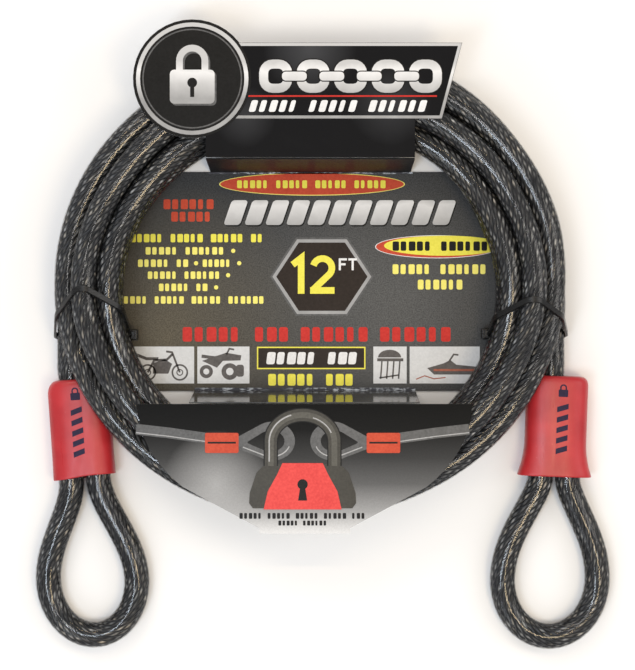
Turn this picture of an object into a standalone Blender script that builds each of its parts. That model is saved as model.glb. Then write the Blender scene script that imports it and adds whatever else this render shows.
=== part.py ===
"""A 12 ft double-loop steel security cable, coiled, tied and laid flat on its printed card.

Metres, +Z up. The coil's axis is Z, its two looped ends point along -Y, and the origin is at the
bottom centre of the whole object's box.
"""

import math

import bmesh
import bpy
from mathutils import Vector

# ---- Driving dimensions ------------------------------------------------------------------------

CABLE_RADIUS = 0.006
JACKET_BORE_RADIUS = 0.0051
CORE_RADIUS = 0.0048
GAP = 0.0003

# The coil: an oval winding, seen along Z. Widths and bulges follow the angle round its centre.
COIL_CENTRE = Vector((-0.0062, 0.0262, 0.0))
COIL_HALF_X = 0.1157
COIL_HALF_Y = 0.1062
COIL_BOTTOM = 0.0024
COIL_TOP = 0.0361
COIL_WIDTH = 0.0298
COIL_WIDTH_SWING = 0.0055
COIL_BULGE_ANGLE = math.radians(50)
COIL_BULGE_SPREAD = math.radians(30)
COIL_BULGE_OUT = 0.0060
COIL_BULGE_WIDTH = 0.0055
COIL_STEPS = 48

# The step under the coil's outer edge that leaves room for the two ends.
STEP_DEPTH = 0.0132
STEP_TOP = 0.0176

# The two ends. Each is drawn in its own frame: along its axis from the sleeve's top, and across.
SLEEVE_LENGTH = 0.0465
SLEEVE_HALF_WIDTH = 0.0142
SLEEVE_HALF_THICK = 0.0082
SLEEVE_WALL = 0.0008
SLEEVE_SIDES = 28
LEAD_OFFSET = -0.0030
LEG_OFFSET = 0.0062
LEAD_HEIGHT = 0.0084
TIP_HEIGHT = 0.00605
FERRULE_START = 0.0130
FERRULE_LENGTH = 0.0270
FERRULE_HALF_WIDTH = 0.0130
FERRULE_HALF_THICK = 0.0070
FERRULE_BORE_RADIUS = 0.0063
TAIL_END = 0.0115
TUBE_SIDES = 12
CORE_SIDES = 8
LEAD_TOP = 0.0054
ENDS = {
    "left": {
        "top": Vector((-0.1137, -0.0179)),
        "tilt": math.radians(4.1),
        "lead_x": -0.1173,
        "lip_half_width": 0.0144,
        "eye_half_width": 0.0205,
        "eye_widest": 0.0470,
        "eye_tip": 0.0727,
        "spread_start": 0.014,
        "spread_end": 0.029,
    },
    "right": {
        "top": Vector((0.1088, -0.0164)),
        "tilt": math.radians(-2.1),
        "lead_x": 0.1060,
        "lip_half_width": 0.0172,
        "eye_half_width": 0.0220,
        "eye_widest": 0.0480,
        "eye_tip": 0.0747,
        "spread_start": 0.011,
        "spread_end": 0.027,
    },
}

# The cable ties: a strap round the coil and one end, leaning towards +Y on its upper side.
TIE_THICK = 0.0011
TIE_WIDTH = 0.0030
TIE_LOW = 0.0015
TIE_HIGH = 0.0371
TIE_CORNER = 0.0070
TIE_CLEARANCE = 0.0013
TIE_HEAD = Vector((0.0040, 0.0052, 0.0048))
TIE_HEAD_HEIGHT = 0.0120
TIES = {
    "left": {"outer_x": -0.1262, "back_y": 0.0014, "front_y": 0.0240},
    "right": {"outer_x": 0.1149, "back_y": 0.0024, "front_y": 0.0190},
}

# The printed card: a floor panel under the coil, two upright necks, and two panels on top.
CARD_THICK = 0.0006
CARD_TOP_LEVEL = 0.0366
FOLD_GAP = 0.0004
PANEL_LEFT = -0.0970
PANEL_RIGHT = 0.0860
PANEL_TOP = 0.0788
PANEL_BOTTOM = -0.0237
UPPER_NECK_LEFT = -0.0525
UPPER_NECK_RIGHT = 0.0410
HEADER_FOLD_Y = 0.0815
LOWER_NECK_LEFT = -0.0600
LOWER_NECK_RIGHT = 0.0432
FLAP_FOLD_Y = -0.0279
FLAP_CENTRE_X = -0.0083
FLAP_HALF_WIDTH = 0.0748
FLAP_SIDE_DEPTH = 0.0541
FLAP_KNEE_ANGLE = 43.3
TAB_HALF_WIDTH = 0.0203
TAB_TOP = -0.0838
TAB_BOTTOM = -0.0862
BANNER_TOP = 0.1331
BANNER_BOTTOM = 0.0991
BANNER_TOP_RIGHT = 0.0621
BANNER_BOTTOM_RIGHT = 0.0531
BADGE_CENTRE = Vector((-0.0585, 0.1170))
BADGE_RADIUS = 0.0265


# ---- Scene and mesh helpers --------------------------------------------------------------------


def clear_scene():
    for old in list(bpy.data.objects):
        bpy.data.objects.remove(old, do_unlink=True)


def make_material(name, colour, roughness, metallic=0.0):
    material = bpy.data.materials.new(name)
    material.use_nodes = True
    shader = material.node_tree.nodes["Principled BSDF"]
    shader.inputs["Base Color"].default_value = (*colour, 1.0)
    shader.inputs["Roughness"].default_value = roughness
    shader.inputs["Metallic"].default_value = metallic
    return material


def make_object(name, verts, faces, material, smooth_angle=None):
    """One mesh object with its faces pointing out."""
    mesh = bpy.data.meshes.new(name)
    mesh.from_pydata([tuple(v) for v in verts], [], faces)
    work = bmesh.new()
    work.from_mesh(mesh)
    bmesh.ops.recalc_face_normals(work, faces=work.faces)
    work.to_mesh(mesh)
    work.free()
    if smooth_angle is not None:
        mesh.shade_smooth()
        mesh.set_sharp_from_angle(angle=smooth_angle)
    mesh.materials.append(material)
    body = bpy.data.objects.new(name, mesh)
    bpy.context.scene.collection.objects.link(body)
    return body


def set_origin(body, point):
    """Moves an object's origin to a point and leaves its shape where it is."""
    for vertex in body.data.vertices:
        vertex.co -= point
    body.location = point


def ring_faces(count, sides, closed):
    """Quads between neighbouring rings of the same number of points."""
    faces = []
    for i in range(count if closed else count - 1):
        a = i * sides
        b = ((i + 1) % count) * sides
        for j in range(sides):
            k = (j + 1) % sides
            faces.append((a + j, a + k, b + k, b + j))
    return faces


def loft(name, rings, material, smooth_angle=None, closed=True):
    """A skin through rings. A closed one joins the last ring to the first; an open one is capped."""
    sides = len(rings[0])
    verts = [point for ring in rings for point in ring]
    faces = ring_faces(len(rings), sides, closed)
    if not closed:
        last = (len(rings) - 1) * sides
        faces.append(tuple(range(sides)))
        faces.append(tuple(range(last, last + sides)))
    return make_object(name, verts, faces, material, smooth_angle)


def prism(name, outline, low, high, material):
    """A flat plate with the given outline, between two heights."""
    count = len(outline)
    verts = [(x, y, low) for x, y in outline] + [(x, y, high) for x, y in outline]
    faces = [tuple(range(count)), tuple(range(count, 2 * count))]
    for i in range(count):
        k = (i + 1) % count
        faces.append((i, k, count + k, count + i))
    return make_object(name, verts, faces, material)


# ---- The coil ----------------------------------------------------------------------------------


def coil_bulge(angle):
    """How far into the bulge at the coil's upper right an angle lies, from 0 to 1."""
    away = (angle - COIL_BULGE_ANGLE + math.pi) % (2 * math.pi) - math.pi
    return math.exp(-((away / COIL_BULGE_SPREAD) ** 2))


def coil_outer(angle):
    across = COIL_HALF_Y * math.cos(angle)
    along = COIL_HALF_X * math.sin(angle)
    oval = COIL_HALF_X * COIL_HALF_Y / math.hypot(across, along)
    return oval + COIL_BULGE_OUT * coil_bulge(angle)


def coil_width(angle):
    return COIL_WIDTH + COIL_WIDTH_SWING * math.sin(angle) + COIL_BULGE_WIDTH * coil_bulge(angle)


def coil_section(width):
    """The winding's section: distance out from its inner edge, and height. Starts at the inner foot."""
    return [
        (0.0045, COIL_BOTTOM),
        (0.0, 0.0085),
        (0.0, COIL_TOP - 0.0075),
        (0.0025, COIL_TOP - 0.0025),
        (0.0070, COIL_TOP),
        (width - 0.0070, COIL_TOP),
        (width - 0.0025, COIL_TOP - 0.0025),
        (width, COIL_TOP - 0.0075),
        (width, STEP_TOP + 0.0040),
        (width - 0.0020, STEP_TOP),
        (width - STEP_DEPTH, STEP_TOP),
        (width - STEP_DEPTH, COIL_BOTTOM),
    ]


def make_coil(material):
    rings = []
    for step in range(COIL_STEPS):
        angle = 2 * math.pi * step / COIL_STEPS
        out = Vector((math.cos(angle), math.sin(angle), 0.0))
        width = coil_width(angle)
        inner = coil_outer(angle) - width
        rings.append([COIL_CENTRE + out * (inner + s) + Vector((0, 0, z)) for s, z in coil_section(width)])
    return loft("cable_coil", rings, material, math.radians(40))


def coil_inner_x(y, side):
    """Where the coil's inner edge crosses a line of constant Y. side is -1 for left, 1 for right."""
    best = None
    for step in range(720):
        angle = math.pi * step / 360
        if side * math.cos(angle) <= 0.3:
            continue
        inner = coil_outer(angle) - coil_width(angle)
        point_y = COIL_CENTRE.y + inner * math.sin(angle)
        if best is None or abs(point_y - y) < best[0]:
            best = (abs(point_y - y), COIL_CENTRE.x + inner * math.cos(angle))
    return best[1]


# ---- The two looped ends -----------------------------------------------------------------------


def end_point(end, along, across, height):
    """A point in an end's own frame: along its axis from the sleeve's top, and across it."""
    lean = end["tilt"]
    axis = Vector((math.sin(lean), -math.cos(lean)))
    side = Vector((math.cos(lean), math.sin(lean)))
    flat = end["top"] + axis * along + side * across
    return Vector((flat.x, flat.y, height))


def bezier(a, b, c, d, t):
    u = 1 - t
    return a * u**3 + 3 * b * u * u * t + 3 * c * u * t * t + d * t**3


def cable_height(end, along):
    """The ends lie level in their sleeves, and sink until the eye's tip touches the floor."""
    if along < 0:
        return SLEEVE_HALF_THICK + (LEAD_HEIGHT - SLEEVE_HALF_THICK) * min(1.0, -along / 0.015)
    if along < SLEEVE_LENGTH:
        return SLEEVE_HALF_THICK
    share = (along - SLEEVE_LENGTH) / end["eye_tip"]
    return SLEEVE_HALF_THICK + (TIP_HEIGHT - SLEEVE_HALF_THICK) * min(1.0, share)


def eye_half(end):
    """One side of the eye from the sleeve's mouth to its tip, as (along, across) pairs."""
    points = []
    side_steps = 9
    for i in range(side_steps):
        t = i / side_steps
        across = bezier(LEG_OFFSET, LEG_OFFSET, end["eye_half_width"], end["eye_half_width"], t)
        along = bezier(0.0, end["spread_start"], end["spread_end"], end["eye_widest"], t)
        points.append((SLEEVE_LENGTH + along, across))
    tip_steps = 7
    for i in range(tip_steps + 1):
        turn = math.pi / 2 * i / tip_steps
        across = end["eye_half_width"] * math.cos(turn)
        along = end["eye_widest"] + (end["eye_tip"] - end["eye_widest"]) * math.sin(turn)
        points.append((SLEEVE_LENGTH + along, across))
    return points


def end_route(end):
    """The cable's centre line: down the lead, through the ferrule, round the eye and back."""
    lead = []
    lead_steps = 5
    lead_end = end_point(end, 0.0, LEAD_OFFSET, LEAD_HEIGHT)
    for i in range(lead_steps):
        y = LEAD_TOP + (lead_end.y - LEAD_TOP) * i / lead_steps
        lead.append(Vector((end["lead_x"], y, LEAD_HEIGHT)))
    flat = [(0.0, LEAD_OFFSET)]
    shift_steps = 4
    for i in range(1, shift_steps):
        ease = (1 - math.cos(math.pi * i / shift_steps)) / 2
        flat.append((FERRULE_START * i / shift_steps, LEAD_OFFSET + (-LEG_OFFSET - LEAD_OFFSET) * ease))
    flat += [(FERRULE_START, -LEG_OFFSET), (FERRULE_START + FERRULE_LENGTH, -LEG_OFFSET)]
    half = eye_half(end)
    flat += [(along, -across) for along, across in half]
    flat += [(along, across) for along, across in reversed(half[:-1])]
    flat += [(FERRULE_START + FERRULE_LENGTH, LEG_OFFSET), (TAIL_END, LEG_OFFSET)]
    body = [end_point(end, along, across, cable_height(end, along)) for along, across in flat]
    return lead + body


def tube_rings(route, radius, sides):
    """Circles round a route that lies nearly flat, each square to it."""
    rings = []
    for i, point in enumerate(route):
        before = route[max(i - 1, 0)]
        after = route[min(i + 1, len(route) - 1)]
        forward = (after - before).normalized()
        side = forward.cross(Vector((0, 0, 1))).normalized()
        up = side.cross(forward)
        ring = []
        for k in range(sides):
            turn = 2 * math.pi * k / sides
            ring.append(point + side * (radius * math.cos(turn)) + up * (radius * math.sin(turn)))
        rings.append(ring)
    return rings


def make_end_cable(side, end, jacket_material, core_material, pivot):
    """The jacket is a tube with an open bore, and the wire rope runs through it."""
    route = end_route(end)
    outer = tube_rings(route, CABLE_RADIUS, TUBE_SIDES)
    bore = tube_rings(route, JACKET_BORE_RADIUS, TUBE_SIDES)
    jacket = loft(f"{side}_end_jacket", outer + bore[::-1], jacket_material, math.radians(40))
    set_origin(jacket, pivot)
    core_rings = tube_rings(route, CORE_RADIUS, CORE_SIDES)
    core = loft(f"{side}_end_wire_rope", core_rings, core_material, math.radians(50), closed=False)
    set_origin(core, pivot)


def stadium(half_width, half_thick, sides):
    """An oval with flat faces and round ends, as (across, up) pairs."""
    points = []
    for k in range(sides):
        turn = 2 * math.pi * (k + 0.5) / sides
        across = math.cos(turn) * half_thick + math.copysign(half_width - half_thick, math.cos(turn))
        points.append((across, math.sin(turn) * half_thick))
    return points


def circle(radius, centre, sides):
    turns = [2 * math.pi * (k + 0.5) / sides for k in range(sides)]
    return [(centre + radius * math.cos(turn), radius * math.sin(turn)) for turn in turns]


def place_ring(end, along, shape):
    return [end_point(end, along, across, SLEEVE_HALF_THICK + up) for across, up in shape]


def make_sleeve(side, end, material, pivot):
    """A moulded cover, closed at the top round the lead and open at the bottom round both legs."""
    wide = SLEEVE_HALF_WIDTH
    thick = SLEEVE_HALF_THICK
    flare = end["lip_half_width"] - wide
    shoulder = wide - 0.0030
    outer = [
        (SLEEVE_LENGTH, wide + flare, thick),
        (SLEEVE_LENGTH - 0.006, wide + flare * 0.45, thick),
        (SLEEVE_LENGTH - 0.016, wide + flare * 0.10, thick),
        (0.0140, wide, thick),
        (0.0045, wide - 0.0001, thick),
        (0.0012, wide - 0.0014, thick - 0.0005),
        (0.0, shoulder, thick - 0.0016),
    ]
    bore = circle(CABLE_RADIUS + GAP, LEAD_OFFSET, SLEEVE_SIDES)
    rings = [place_ring(end, along, stadium(w, t, SLEEVE_SIDES)) for along, w, t in outer]
    rings.append(place_ring(end, 0.0, bore))
    rings.append(place_ring(end, SLEEVE_WALL, bore))
    inner = [(along, w - SLEEVE_WALL, t - SLEEVE_WALL) for along, w, t in outer[:5]]
    inner.append((SLEEVE_WALL + 0.0012, shoulder, thick - SLEEVE_WALL - 0.0004))
    for along, w, t in reversed(inner):
        rings.append(place_ring(end, along, stadium(w, t, SLEEVE_SIDES)))
    sleeve = loft(f"{side}_sleeve", rings, material, math.radians(35))
    set_origin(sleeve, pivot)


def two_leg_bore(sides):
    """The outline of two overlapping round bores, side by side."""
    points = []
    for k in range(sides):
        turn = 2 * math.pi * (k + 0.5) / sides
        reach = LEG_OFFSET * abs(math.cos(turn))
        reach += math.sqrt(FERRULE_BORE_RADIUS**2 - (LEG_OFFSET * math.sin(turn)) ** 2)
        points.append((reach * math.cos(turn), reach * math.sin(turn)))
    return points


def make_ferrule(side, end, material, pivot):
    sides = 36
    first = FERRULE_START
    last = FERRULE_START + FERRULE_LENGTH
    body = stadium(FERRULE_HALF_WIDTH, FERRULE_HALF_THICK, sides)
    mouth = stadium(FERRULE_HALF_WIDTH - 0.0005, FERRULE_HALF_THICK - 0.0003, sides)
    bore = two_leg_bore(sides)
    rings = [
        place_ring(end, first, mouth),
        place_ring(end, first + 0.0008, body),
        place_ring(end, last - 0.0008, body),
        place_ring(end, last, mouth),
        place_ring(end, last, bore),
        place_ring(end, first, bore),
    ]
    ferrule = loft(f"{side}_ferrule", rings, material, math.radians(35))
    set_origin(ferrule, pivot)


# ---- The cable ties ----------------------------------------------------------------------------


def rounded_box(x_low, x_high, z_low, z_high, radius, corner_steps):
    """A closed outline with round corners, with the direction out of it at each point."""
    corners = [
        (x_high - radius, z_low + radius, -90),
        (x_high - radius, z_high - radius, 0),
        (x_low + radius, z_high - radius, 90),
        (x_low + radius, z_low + radius, 180),
    ]
    points = []
    for x, z, start in corners:
        for k in range(corner_steps + 1):
            turn = math.radians(start + 90 * k / corner_steps)
            points.append((x + radius * math.cos(turn), z + radius * math.sin(turn), turn))
    return points


def tie_y(tie, z):
    """The strap runs straight up at its back and leans forward over the coil."""
    return tie["back_y"] + (tie["front_y"] - tie["back_y"]) * (z / TIE_HIGH) ** 2


def make_tie(side, tie, material):
    sign = -1 if side == "left" else 1
    inner_x = coil_inner_x(tie["back_y"], sign) - sign * TIE_CLEARANCE
    x_low, x_high = sorted((inner_x, tie["outer_x"]))
    rings = []
    for x, z, turn in rounded_box(x_low, x_high, TIE_LOW, TIE_HIGH, TIE_CORNER, 5):
        out = Vector((math.cos(turn), 0, math.sin(turn))) * (TIE_THICK / 2)
        half = Vector((0, TIE_WIDTH / 2, 0))
        centre = Vector((x, tie_y(tie, z), z))
        rings.append([centre - half - out, centre + half - out, centre + half + out, centre - half + out])
    strap = loft(f"{side}_cable_tie", rings, material)
    head_centre = Vector((inner_x - sign * TIE_HEAD.x / 2, tie_y(tie, TIE_HEAD_HEIGHT), TIE_HEAD_HEIGHT))
    corners = [(x, y, z) for x in (-0.5, 0.5) for y in (-0.5, 0.5) for z in (-0.5, 0.5)]
    verts = [head_centre + Vector((x * TIE_HEAD.x, y * TIE_HEAD.y, z * TIE_HEAD.z)) for x, y, z in corners]
    faces = [(0, 1, 3, 2), (4, 6, 7, 5), (0, 4, 5, 1), (2, 3, 7, 6), (0, 2, 6, 4), (1, 5, 7, 3)]
    head = make_object(f"{side}_tie_head_union", verts, faces, material)
    head.hide_render = True
    head.display_type = "WIRE"
    join = strap.modifiers.new("head", "BOOLEAN")
    join.operation = "UNION"
    join.solver = "EXACT"
    join.object = head


# ---- The card ----------------------------------------------------------------------------------


def arc(centre_x, centre_y, half_x, half_y, start, stop, steps):
    turns = [math.radians(start + (stop - start) * k / steps) for k in range(steps + 1)]
    return [(centre_x + half_x * math.cos(t), centre_y + half_y * math.sin(t)) for t in turns]


def header_outline():
    """The round badge, the banner and the strip down to the fold, as one outline."""
    fold = HEADER_FOLD_Y + FOLD_GAP
    above = math.degrees(math.asin((BANNER_TOP - BADGE_CENTRE.y) / BADGE_RADIUS))
    below = 360 - math.degrees(math.acos((UPPER_NECK_LEFT - BADGE_CENTRE.x) / BADGE_RADIUS))
    points = [(UPPER_NECK_RIGHT, fold), (UPPER_NECK_RIGHT, BANNER_BOTTOM)]
    points += [(BANNER_BOTTOM_RIGHT, BANNER_BOTTOM), (BANNER_TOP_RIGHT, BANNER_TOP)]
    points += arc(*BADGE_CENTRE, BADGE_RADIUS, BADGE_RADIUS, above, below, 28)
    points += [(UPPER_NECK_LEFT, fold)]
    return points


def flap_outline():
    """Round sides from the fold, straight lower edges, and a short tab between them."""
    fold = FLAP_FOLD_Y - FOLD_GAP
    left = arc(FLAP_CENTRE_X, fold, FLAP_HALF_WIDTH, FLAP_SIDE_DEPTH, 180, 180 + FLAP_KNEE_ANGLE, 8)
    right = [(2 * FLAP_CENTRE_X - x, y) for x, y in reversed(left)]
    tab_left = FLAP_CENTRE_X - TAB_HALF_WIDTH
    tab_right = FLAP_CENTRE_X + TAB_HALF_WIDTH
    tab = [(tab_left, TAB_TOP), (tab_left, TAB_BOTTOM), (tab_right, TAB_BOTTOM), (tab_right, TAB_TOP)]
    return left + tab + right


def neck_between(name, low_y, high_y, left, right, material):
    """An upright strip of card from the floor panel's edge up to a fold."""
    low = Vector((low_y, CARD_THICK / 2))
    high = Vector((high_y, CARD_TOP_LEVEL + CARD_THICK / 2))
    run = (high - low).normalized()
    square = Vector((-run.y, run.x)) * (CARD_THICK / 2)
    start = low + run * (2 * FOLD_GAP)
    stop = high - run * (2 * FOLD_GAP)
    profile = [start - square, stop - square, stop + square, start + square]
    rings = [[(x, p.x, p.y) for p in profile] for x in (left, right)]
    return loft(name, rings, material, closed=False)


def make_card(dark, grey):
    panel = [
        (PANEL_LEFT, PANEL_BOTTOM),
        (PANEL_RIGHT, PANEL_BOTTOM),
        (PANEL_RIGHT, PANEL_TOP),
        (PANEL_LEFT, PANEL_TOP),
    ]
    prism("card_centre_panel", panel, 0.0, CARD_THICK, grey)
    neck_between("card_upper_neck", PANEL_TOP, HEADER_FOLD_Y, UPPER_NECK_LEFT, UPPER_NECK_RIGHT, dark)
    neck_between("card_lower_neck", PANEL_BOTTOM, FLAP_FOLD_Y, LOWER_NECK_LEFT, LOWER_NECK_RIGHT, dark)
    top = CARD_TOP_LEVEL + CARD_THICK
    fold_height = CARD_TOP_LEVEL + CARD_THICK / 2
    header = prism("card_header", header_outline(), CARD_TOP_LEVEL, top, dark)
    set_origin(header, Vector((0, HEADER_FOLD_Y, fold_height)))
    flap = prism("card_flap", flap_outline(), CARD_TOP_LEVEL, top, grey)
    set_origin(flap, Vector((0, FLAP_FOLD_Y, fold_height)))


# ---- The whole object --------------------------------------------------------------------------


def main():
    clear_scene()
    smoke_vinyl = make_material("smoke_vinyl", (0.055, 0.056, 0.060), 0.25)
    steel = make_material("galvanised_steel", (0.42, 0.42, 0.43), 0.35, 1.0)
    aluminium = make_material("aluminium", (0.70, 0.71, 0.72), 0.40, 1.0)
    red_vinyl = make_material("red_vinyl", (0.62, 0.035, 0.045), 0.45)
    nylon = make_material("black_nylon", (0.020, 0.018, 0.017), 0.40)
    dark_card = make_material("black_card", (0.015, 0.015, 0.017), 0.30)
    grey_card = make_material("grey_card", (0.085, 0.085, 0.095), 0.35)
    make_coil(smoke_vinyl)
    for side, end in ENDS.items():
        tie = TIES[side]
        pivot = Vector((end["lead_x"], tie["back_y"], LEAD_HEIGHT))
        make_end_cable(side, end, smoke_vinyl, steel, pivot)
        make_sleeve(side, end, red_vinyl, pivot)
        make_ferrule(side, end, aluminium, pivot)
        make_tie(side, tie, nylon)
    make_card(dark_card, grey_card)


main()
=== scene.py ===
import math

import bmesh
import bpy
import numpy as np
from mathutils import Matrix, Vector


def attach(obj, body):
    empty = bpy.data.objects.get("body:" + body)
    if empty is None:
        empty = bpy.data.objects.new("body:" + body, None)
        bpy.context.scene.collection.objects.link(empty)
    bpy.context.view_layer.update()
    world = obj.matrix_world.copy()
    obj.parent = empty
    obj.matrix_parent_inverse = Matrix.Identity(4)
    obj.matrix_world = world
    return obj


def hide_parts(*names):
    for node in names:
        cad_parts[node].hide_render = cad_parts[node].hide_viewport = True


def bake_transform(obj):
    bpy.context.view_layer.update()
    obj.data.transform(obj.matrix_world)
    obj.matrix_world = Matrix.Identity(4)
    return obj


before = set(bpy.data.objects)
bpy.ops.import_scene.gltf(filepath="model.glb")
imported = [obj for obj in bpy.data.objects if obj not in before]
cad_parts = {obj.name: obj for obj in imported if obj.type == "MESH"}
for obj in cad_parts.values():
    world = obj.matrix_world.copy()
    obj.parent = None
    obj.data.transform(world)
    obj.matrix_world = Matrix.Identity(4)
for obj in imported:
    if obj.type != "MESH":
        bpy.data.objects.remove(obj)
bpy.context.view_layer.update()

# ---- Dimensions shared with the CAD, in metres ---------------------------------------------------

CABLE_RADIUS = 0.006
CABLE_DIAMETER = 2 * CABLE_RADIUS
TURNS = 5.5
COIL_CENTRE = np.array([-0.0062, 0.0262])
COIL_HALF_X = 0.1157
COIL_HALF_Y = 0.1062
COIL_WIDTH = 0.0298
COIL_WIDTH_SWING = 0.0055
COIL_BULGE_ANGLE = math.radians(50)
COIL_BULGE_SPREAD = math.radians(30)
COIL_BULGE_OUT = 0.0060
COIL_BULGE_WIDTH = 0.0055
STEP_DEPTH = 0.0132
STEP_TOP = 0.0176
SLEEVE_LENGTH = 0.0465
SLEEVE_HALF_THICK = 0.0082
SLEEVE_HALF_WIDTH = 0.0142
SLEEVE_WALL = 0.0008
LEAD_OFFSET = -0.0030
LEG_OFFSET = 0.0062
LEAD_HEIGHT = 0.0084
TIP_HEIGHT = 0.00605
FERRULE_START = 0.0130
FERRULE_LENGTH = 0.0270
TAIL_END = 0.0115
LEAD_TOP = 0.0054
ENDS = {
    "left": {
        "top": (-0.1137, -0.0179),
        "tilt": math.radians(4.1),
        "lead_x": -0.1173,
        "lip_half_width": 0.0144,
        "corner": (0.0065, 0.0048),
        "mouth_skew": 0.0018,
        "mouth_slant": 0.0016,
        "print_across": -0.0006,
        "eye_half_width": 0.0205,
        "eye_widest": 0.0470,
        "eye_tip": 0.0727,
        "spread_start": 0.014,
        "spread_end": 0.029,
    },
    "right": {
        "top": (0.1088, -0.0164),
        "tilt": math.radians(-2.1),
        "lead_x": 0.1060,
        "lip_half_width": 0.0172,
        "corner": (0.0040, 0.0034),
        "mouth_skew": 0.0002,
        "mouth_slant": 0.0,
        "print_across": 0.0018,
        "eye_half_width": 0.0220,
        "eye_widest": 0.0480,
        "eye_tip": 0.0747,
        "spread_start": 0.011,
        "spread_end": 0.027,
    },
}
TIE_THICK = 0.0011
TIE_WIDTH = 0.0030
TIE_HIGH = 0.0371
TIE_HEAD = (0.0040, 0.0052, 0.0048)
TIE_HEAD_DROP = math.radians(20)
TIES = {"left": {"back_y": 0.0014, "front_y": 0.0240}, "right": {"back_y": 0.0024, "front_y": 0.0190}}

# The card's thickness, and the height of its raised header and flap.
CARD_THICK = 0.0006
CARD_TOP = 0.0372

# The card's other sizes stay in millimetres, as its artwork does.
MM = 0.001
PANEL_TOP = 78.8
PANEL_BOTTOM = -23.7
FLAP_FOLD = -28.3
NECK_LEFT = -52.5
NECK_RIGHT = 41.0
BANNER_LEFT = -62.0
BANNER_TOP = 133.1
BANNER_BOTTOM = 99.1
BANNER_TOP_RIGHT = 62.1
BANNER_BOTTOM_RIGHT = 53.1
BADGE_CENTRE = (-58.5, 117.0)
BADGE_RADIUS = 26.5
FLAP_MIDDLE = -9.2


# ---- Camera, lights and floor --------------------------------------------------------------------

CAMERA_PLACE = (-0.00255, 0.0025, 0.800)
CAMERA_SENSOR = 36.0
CAMERA_LENS = 91.75
WORLD_COLOUR = (0.95, 0.96, 1.0, 1.0)
WORLD_STRENGTH = 0.50
FLOOR_SIZE = 6.0
FLOOR_DROP = 0.0002
FLOOR_GREY = 0.93

# The lamps are rectangles turned towards the object, each with a place, two sides, a power and a colour.
LAMPS = {
    "key": ((-0.35, 0.75, 0.85), (0.60, 0.35), 2.5, (1.0, 0.93, 0.84)),
    "fill": ((-0.55, -0.75, 0.80), (0.45, 0.50), 1.3, (0.86, 0.93, 1.0)),
    "side": ((0.85, 0.10, 0.75), (0.35, 0.60), 1.8, (1.0, 0.97, 0.93)),
    "warm_strip": ((0.0, 0.42, 1.0), (0.90, 0.04), 1.3, (1.0, 0.78, 0.48)),
    "cool_glint": ((-0.29, -0.24, 1.0), (0.18, 0.34), 2.5, (0.78, 0.88, 1.0)),
    "sheen": ((-0.03, -0.09, 1.0), (0.14, 0.30), 0.8, (1.0, 0.98, 0.97)),
    "warm_glint": ((0.29, -0.24, 1.0), (0.18, 0.34), 2.4, (1.0, 0.80, 0.52)),
}


def add_object(name, data):
    made = bpy.data.objects.new(name, data)
    bpy.context.scene.collection.objects.link(made)
    return made


def make_camera():
    """Straight above the object, with the photograph's slight perspective."""
    data = bpy.data.cameras.new("camera")
    data.sensor_width = CAMERA_SENSOR
    data.lens = CAMERA_LENS
    camera = add_object("camera", data)
    camera.location = CAMERA_PLACE
    bpy.context.scene.camera = camera


def make_lights():
    """A pale room with three lamps to light the object and four to shine in its gloss."""
    bpy.context.scene.view_settings.view_transform = "Standard"
    world = bpy.data.worlds.new("studio")
    world.use_nodes = True
    background = world.node_tree.nodes["Background"]
    background.inputs["Color"].default_value = WORLD_COLOUR
    background.inputs["Strength"].default_value = WORLD_STRENGTH
    bpy.context.scene.world = world
    for name, (place, sides, power, colour) in LAMPS.items():
        data = bpy.data.lights.new(name, "AREA")
        data.shape = "RECTANGLE"
        data.size, data.size_y = sides
        data.energy = power
        data.color = colour
        lamp = add_object(name, data)
        lamp.location = place
        lamp.rotation_euler = (-Vector(place)).to_track_quat("-Z", "Y").to_euler()


def make_floor():
    bpy.ops.mesh.primitive_plane_add(size=FLOOR_SIZE, location=(0, 0, -FLOOR_DROP))
    floor = bpy.context.object
    floor.name = "floor"
    material = bpy.data.materials.new("floor")
    material.use_nodes = True
    shader = material.node_tree.nodes["Principled BSDF"]
    shader.inputs["Base Color"].default_value = (FLOOR_GREY, FLOOR_GREY, FLOOR_GREY, 1.0)
    shader.inputs["Roughness"].default_value = 0.8
    floor.data.materials.append(material)


# ---- The cable's route ---------------------------------------------------------------------------


def coil_bulge(angle):
    away = (angle - COIL_BULGE_ANGLE + math.pi) % (2 * math.pi) - math.pi
    return np.exp(-((away / COIL_BULGE_SPREAD) ** 2))


def coil_outer(angle):
    oval = COIL_HALF_X * COIL_HALF_Y / np.hypot(COIL_HALF_Y * np.cos(angle), COIL_HALF_X * np.sin(angle))
    return oval + COIL_BULGE_OUT * coil_bulge(angle)


def coil_width(angle):
    return COIL_WIDTH + COIL_WIDTH_SWING * np.sin(angle) + COIL_BULGE_WIDTH * coil_bulge(angle)


# Each pass over the coil's top moves one place round this ring of six places in the bundle, so
# that the lead comes in at the lower outer place on the left and leaves by it on the right. A
# place is (share of the half width out from the middle, height).
PLACES = [(1.0, 0.0125), (0.0, 0.0100), (-1.0, 0.0130), (-1.0, 0.0252), (0.0, 0.0298), (1.0, 0.0262)]
MOVE_START = 0.03
MOVE_RUN = 0.44
STEPS_PER_TURN = 90
HIGHEST = 0.0298
LOWEST = 0.0085

# How far the turns stray from an even coil: two slow waves, each a size, a rate and a start.
WAVES = [(0.0012, 0.83, 1.0), (0.0009, 1.71, 0.4)]

# How the turns settle. In each round they push each other apart, even out, and are drawn back to
# their places, all by a small share. The first and last stretches are pinned to the leads.
SETTLE_ROUNDS = 900
TURN_GAP = CABLE_DIAMETER * 1.004
PUSH = 0.30
EVEN_OUT = 0.30
DRAW_BACK = 0.012
PIN_BACK = 0.3
PIN_RUN = 0.35
PIN_NONE = 0.01
OUTER_SLACK = 0.0006
INNER_SLACK = 0.0004

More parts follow.
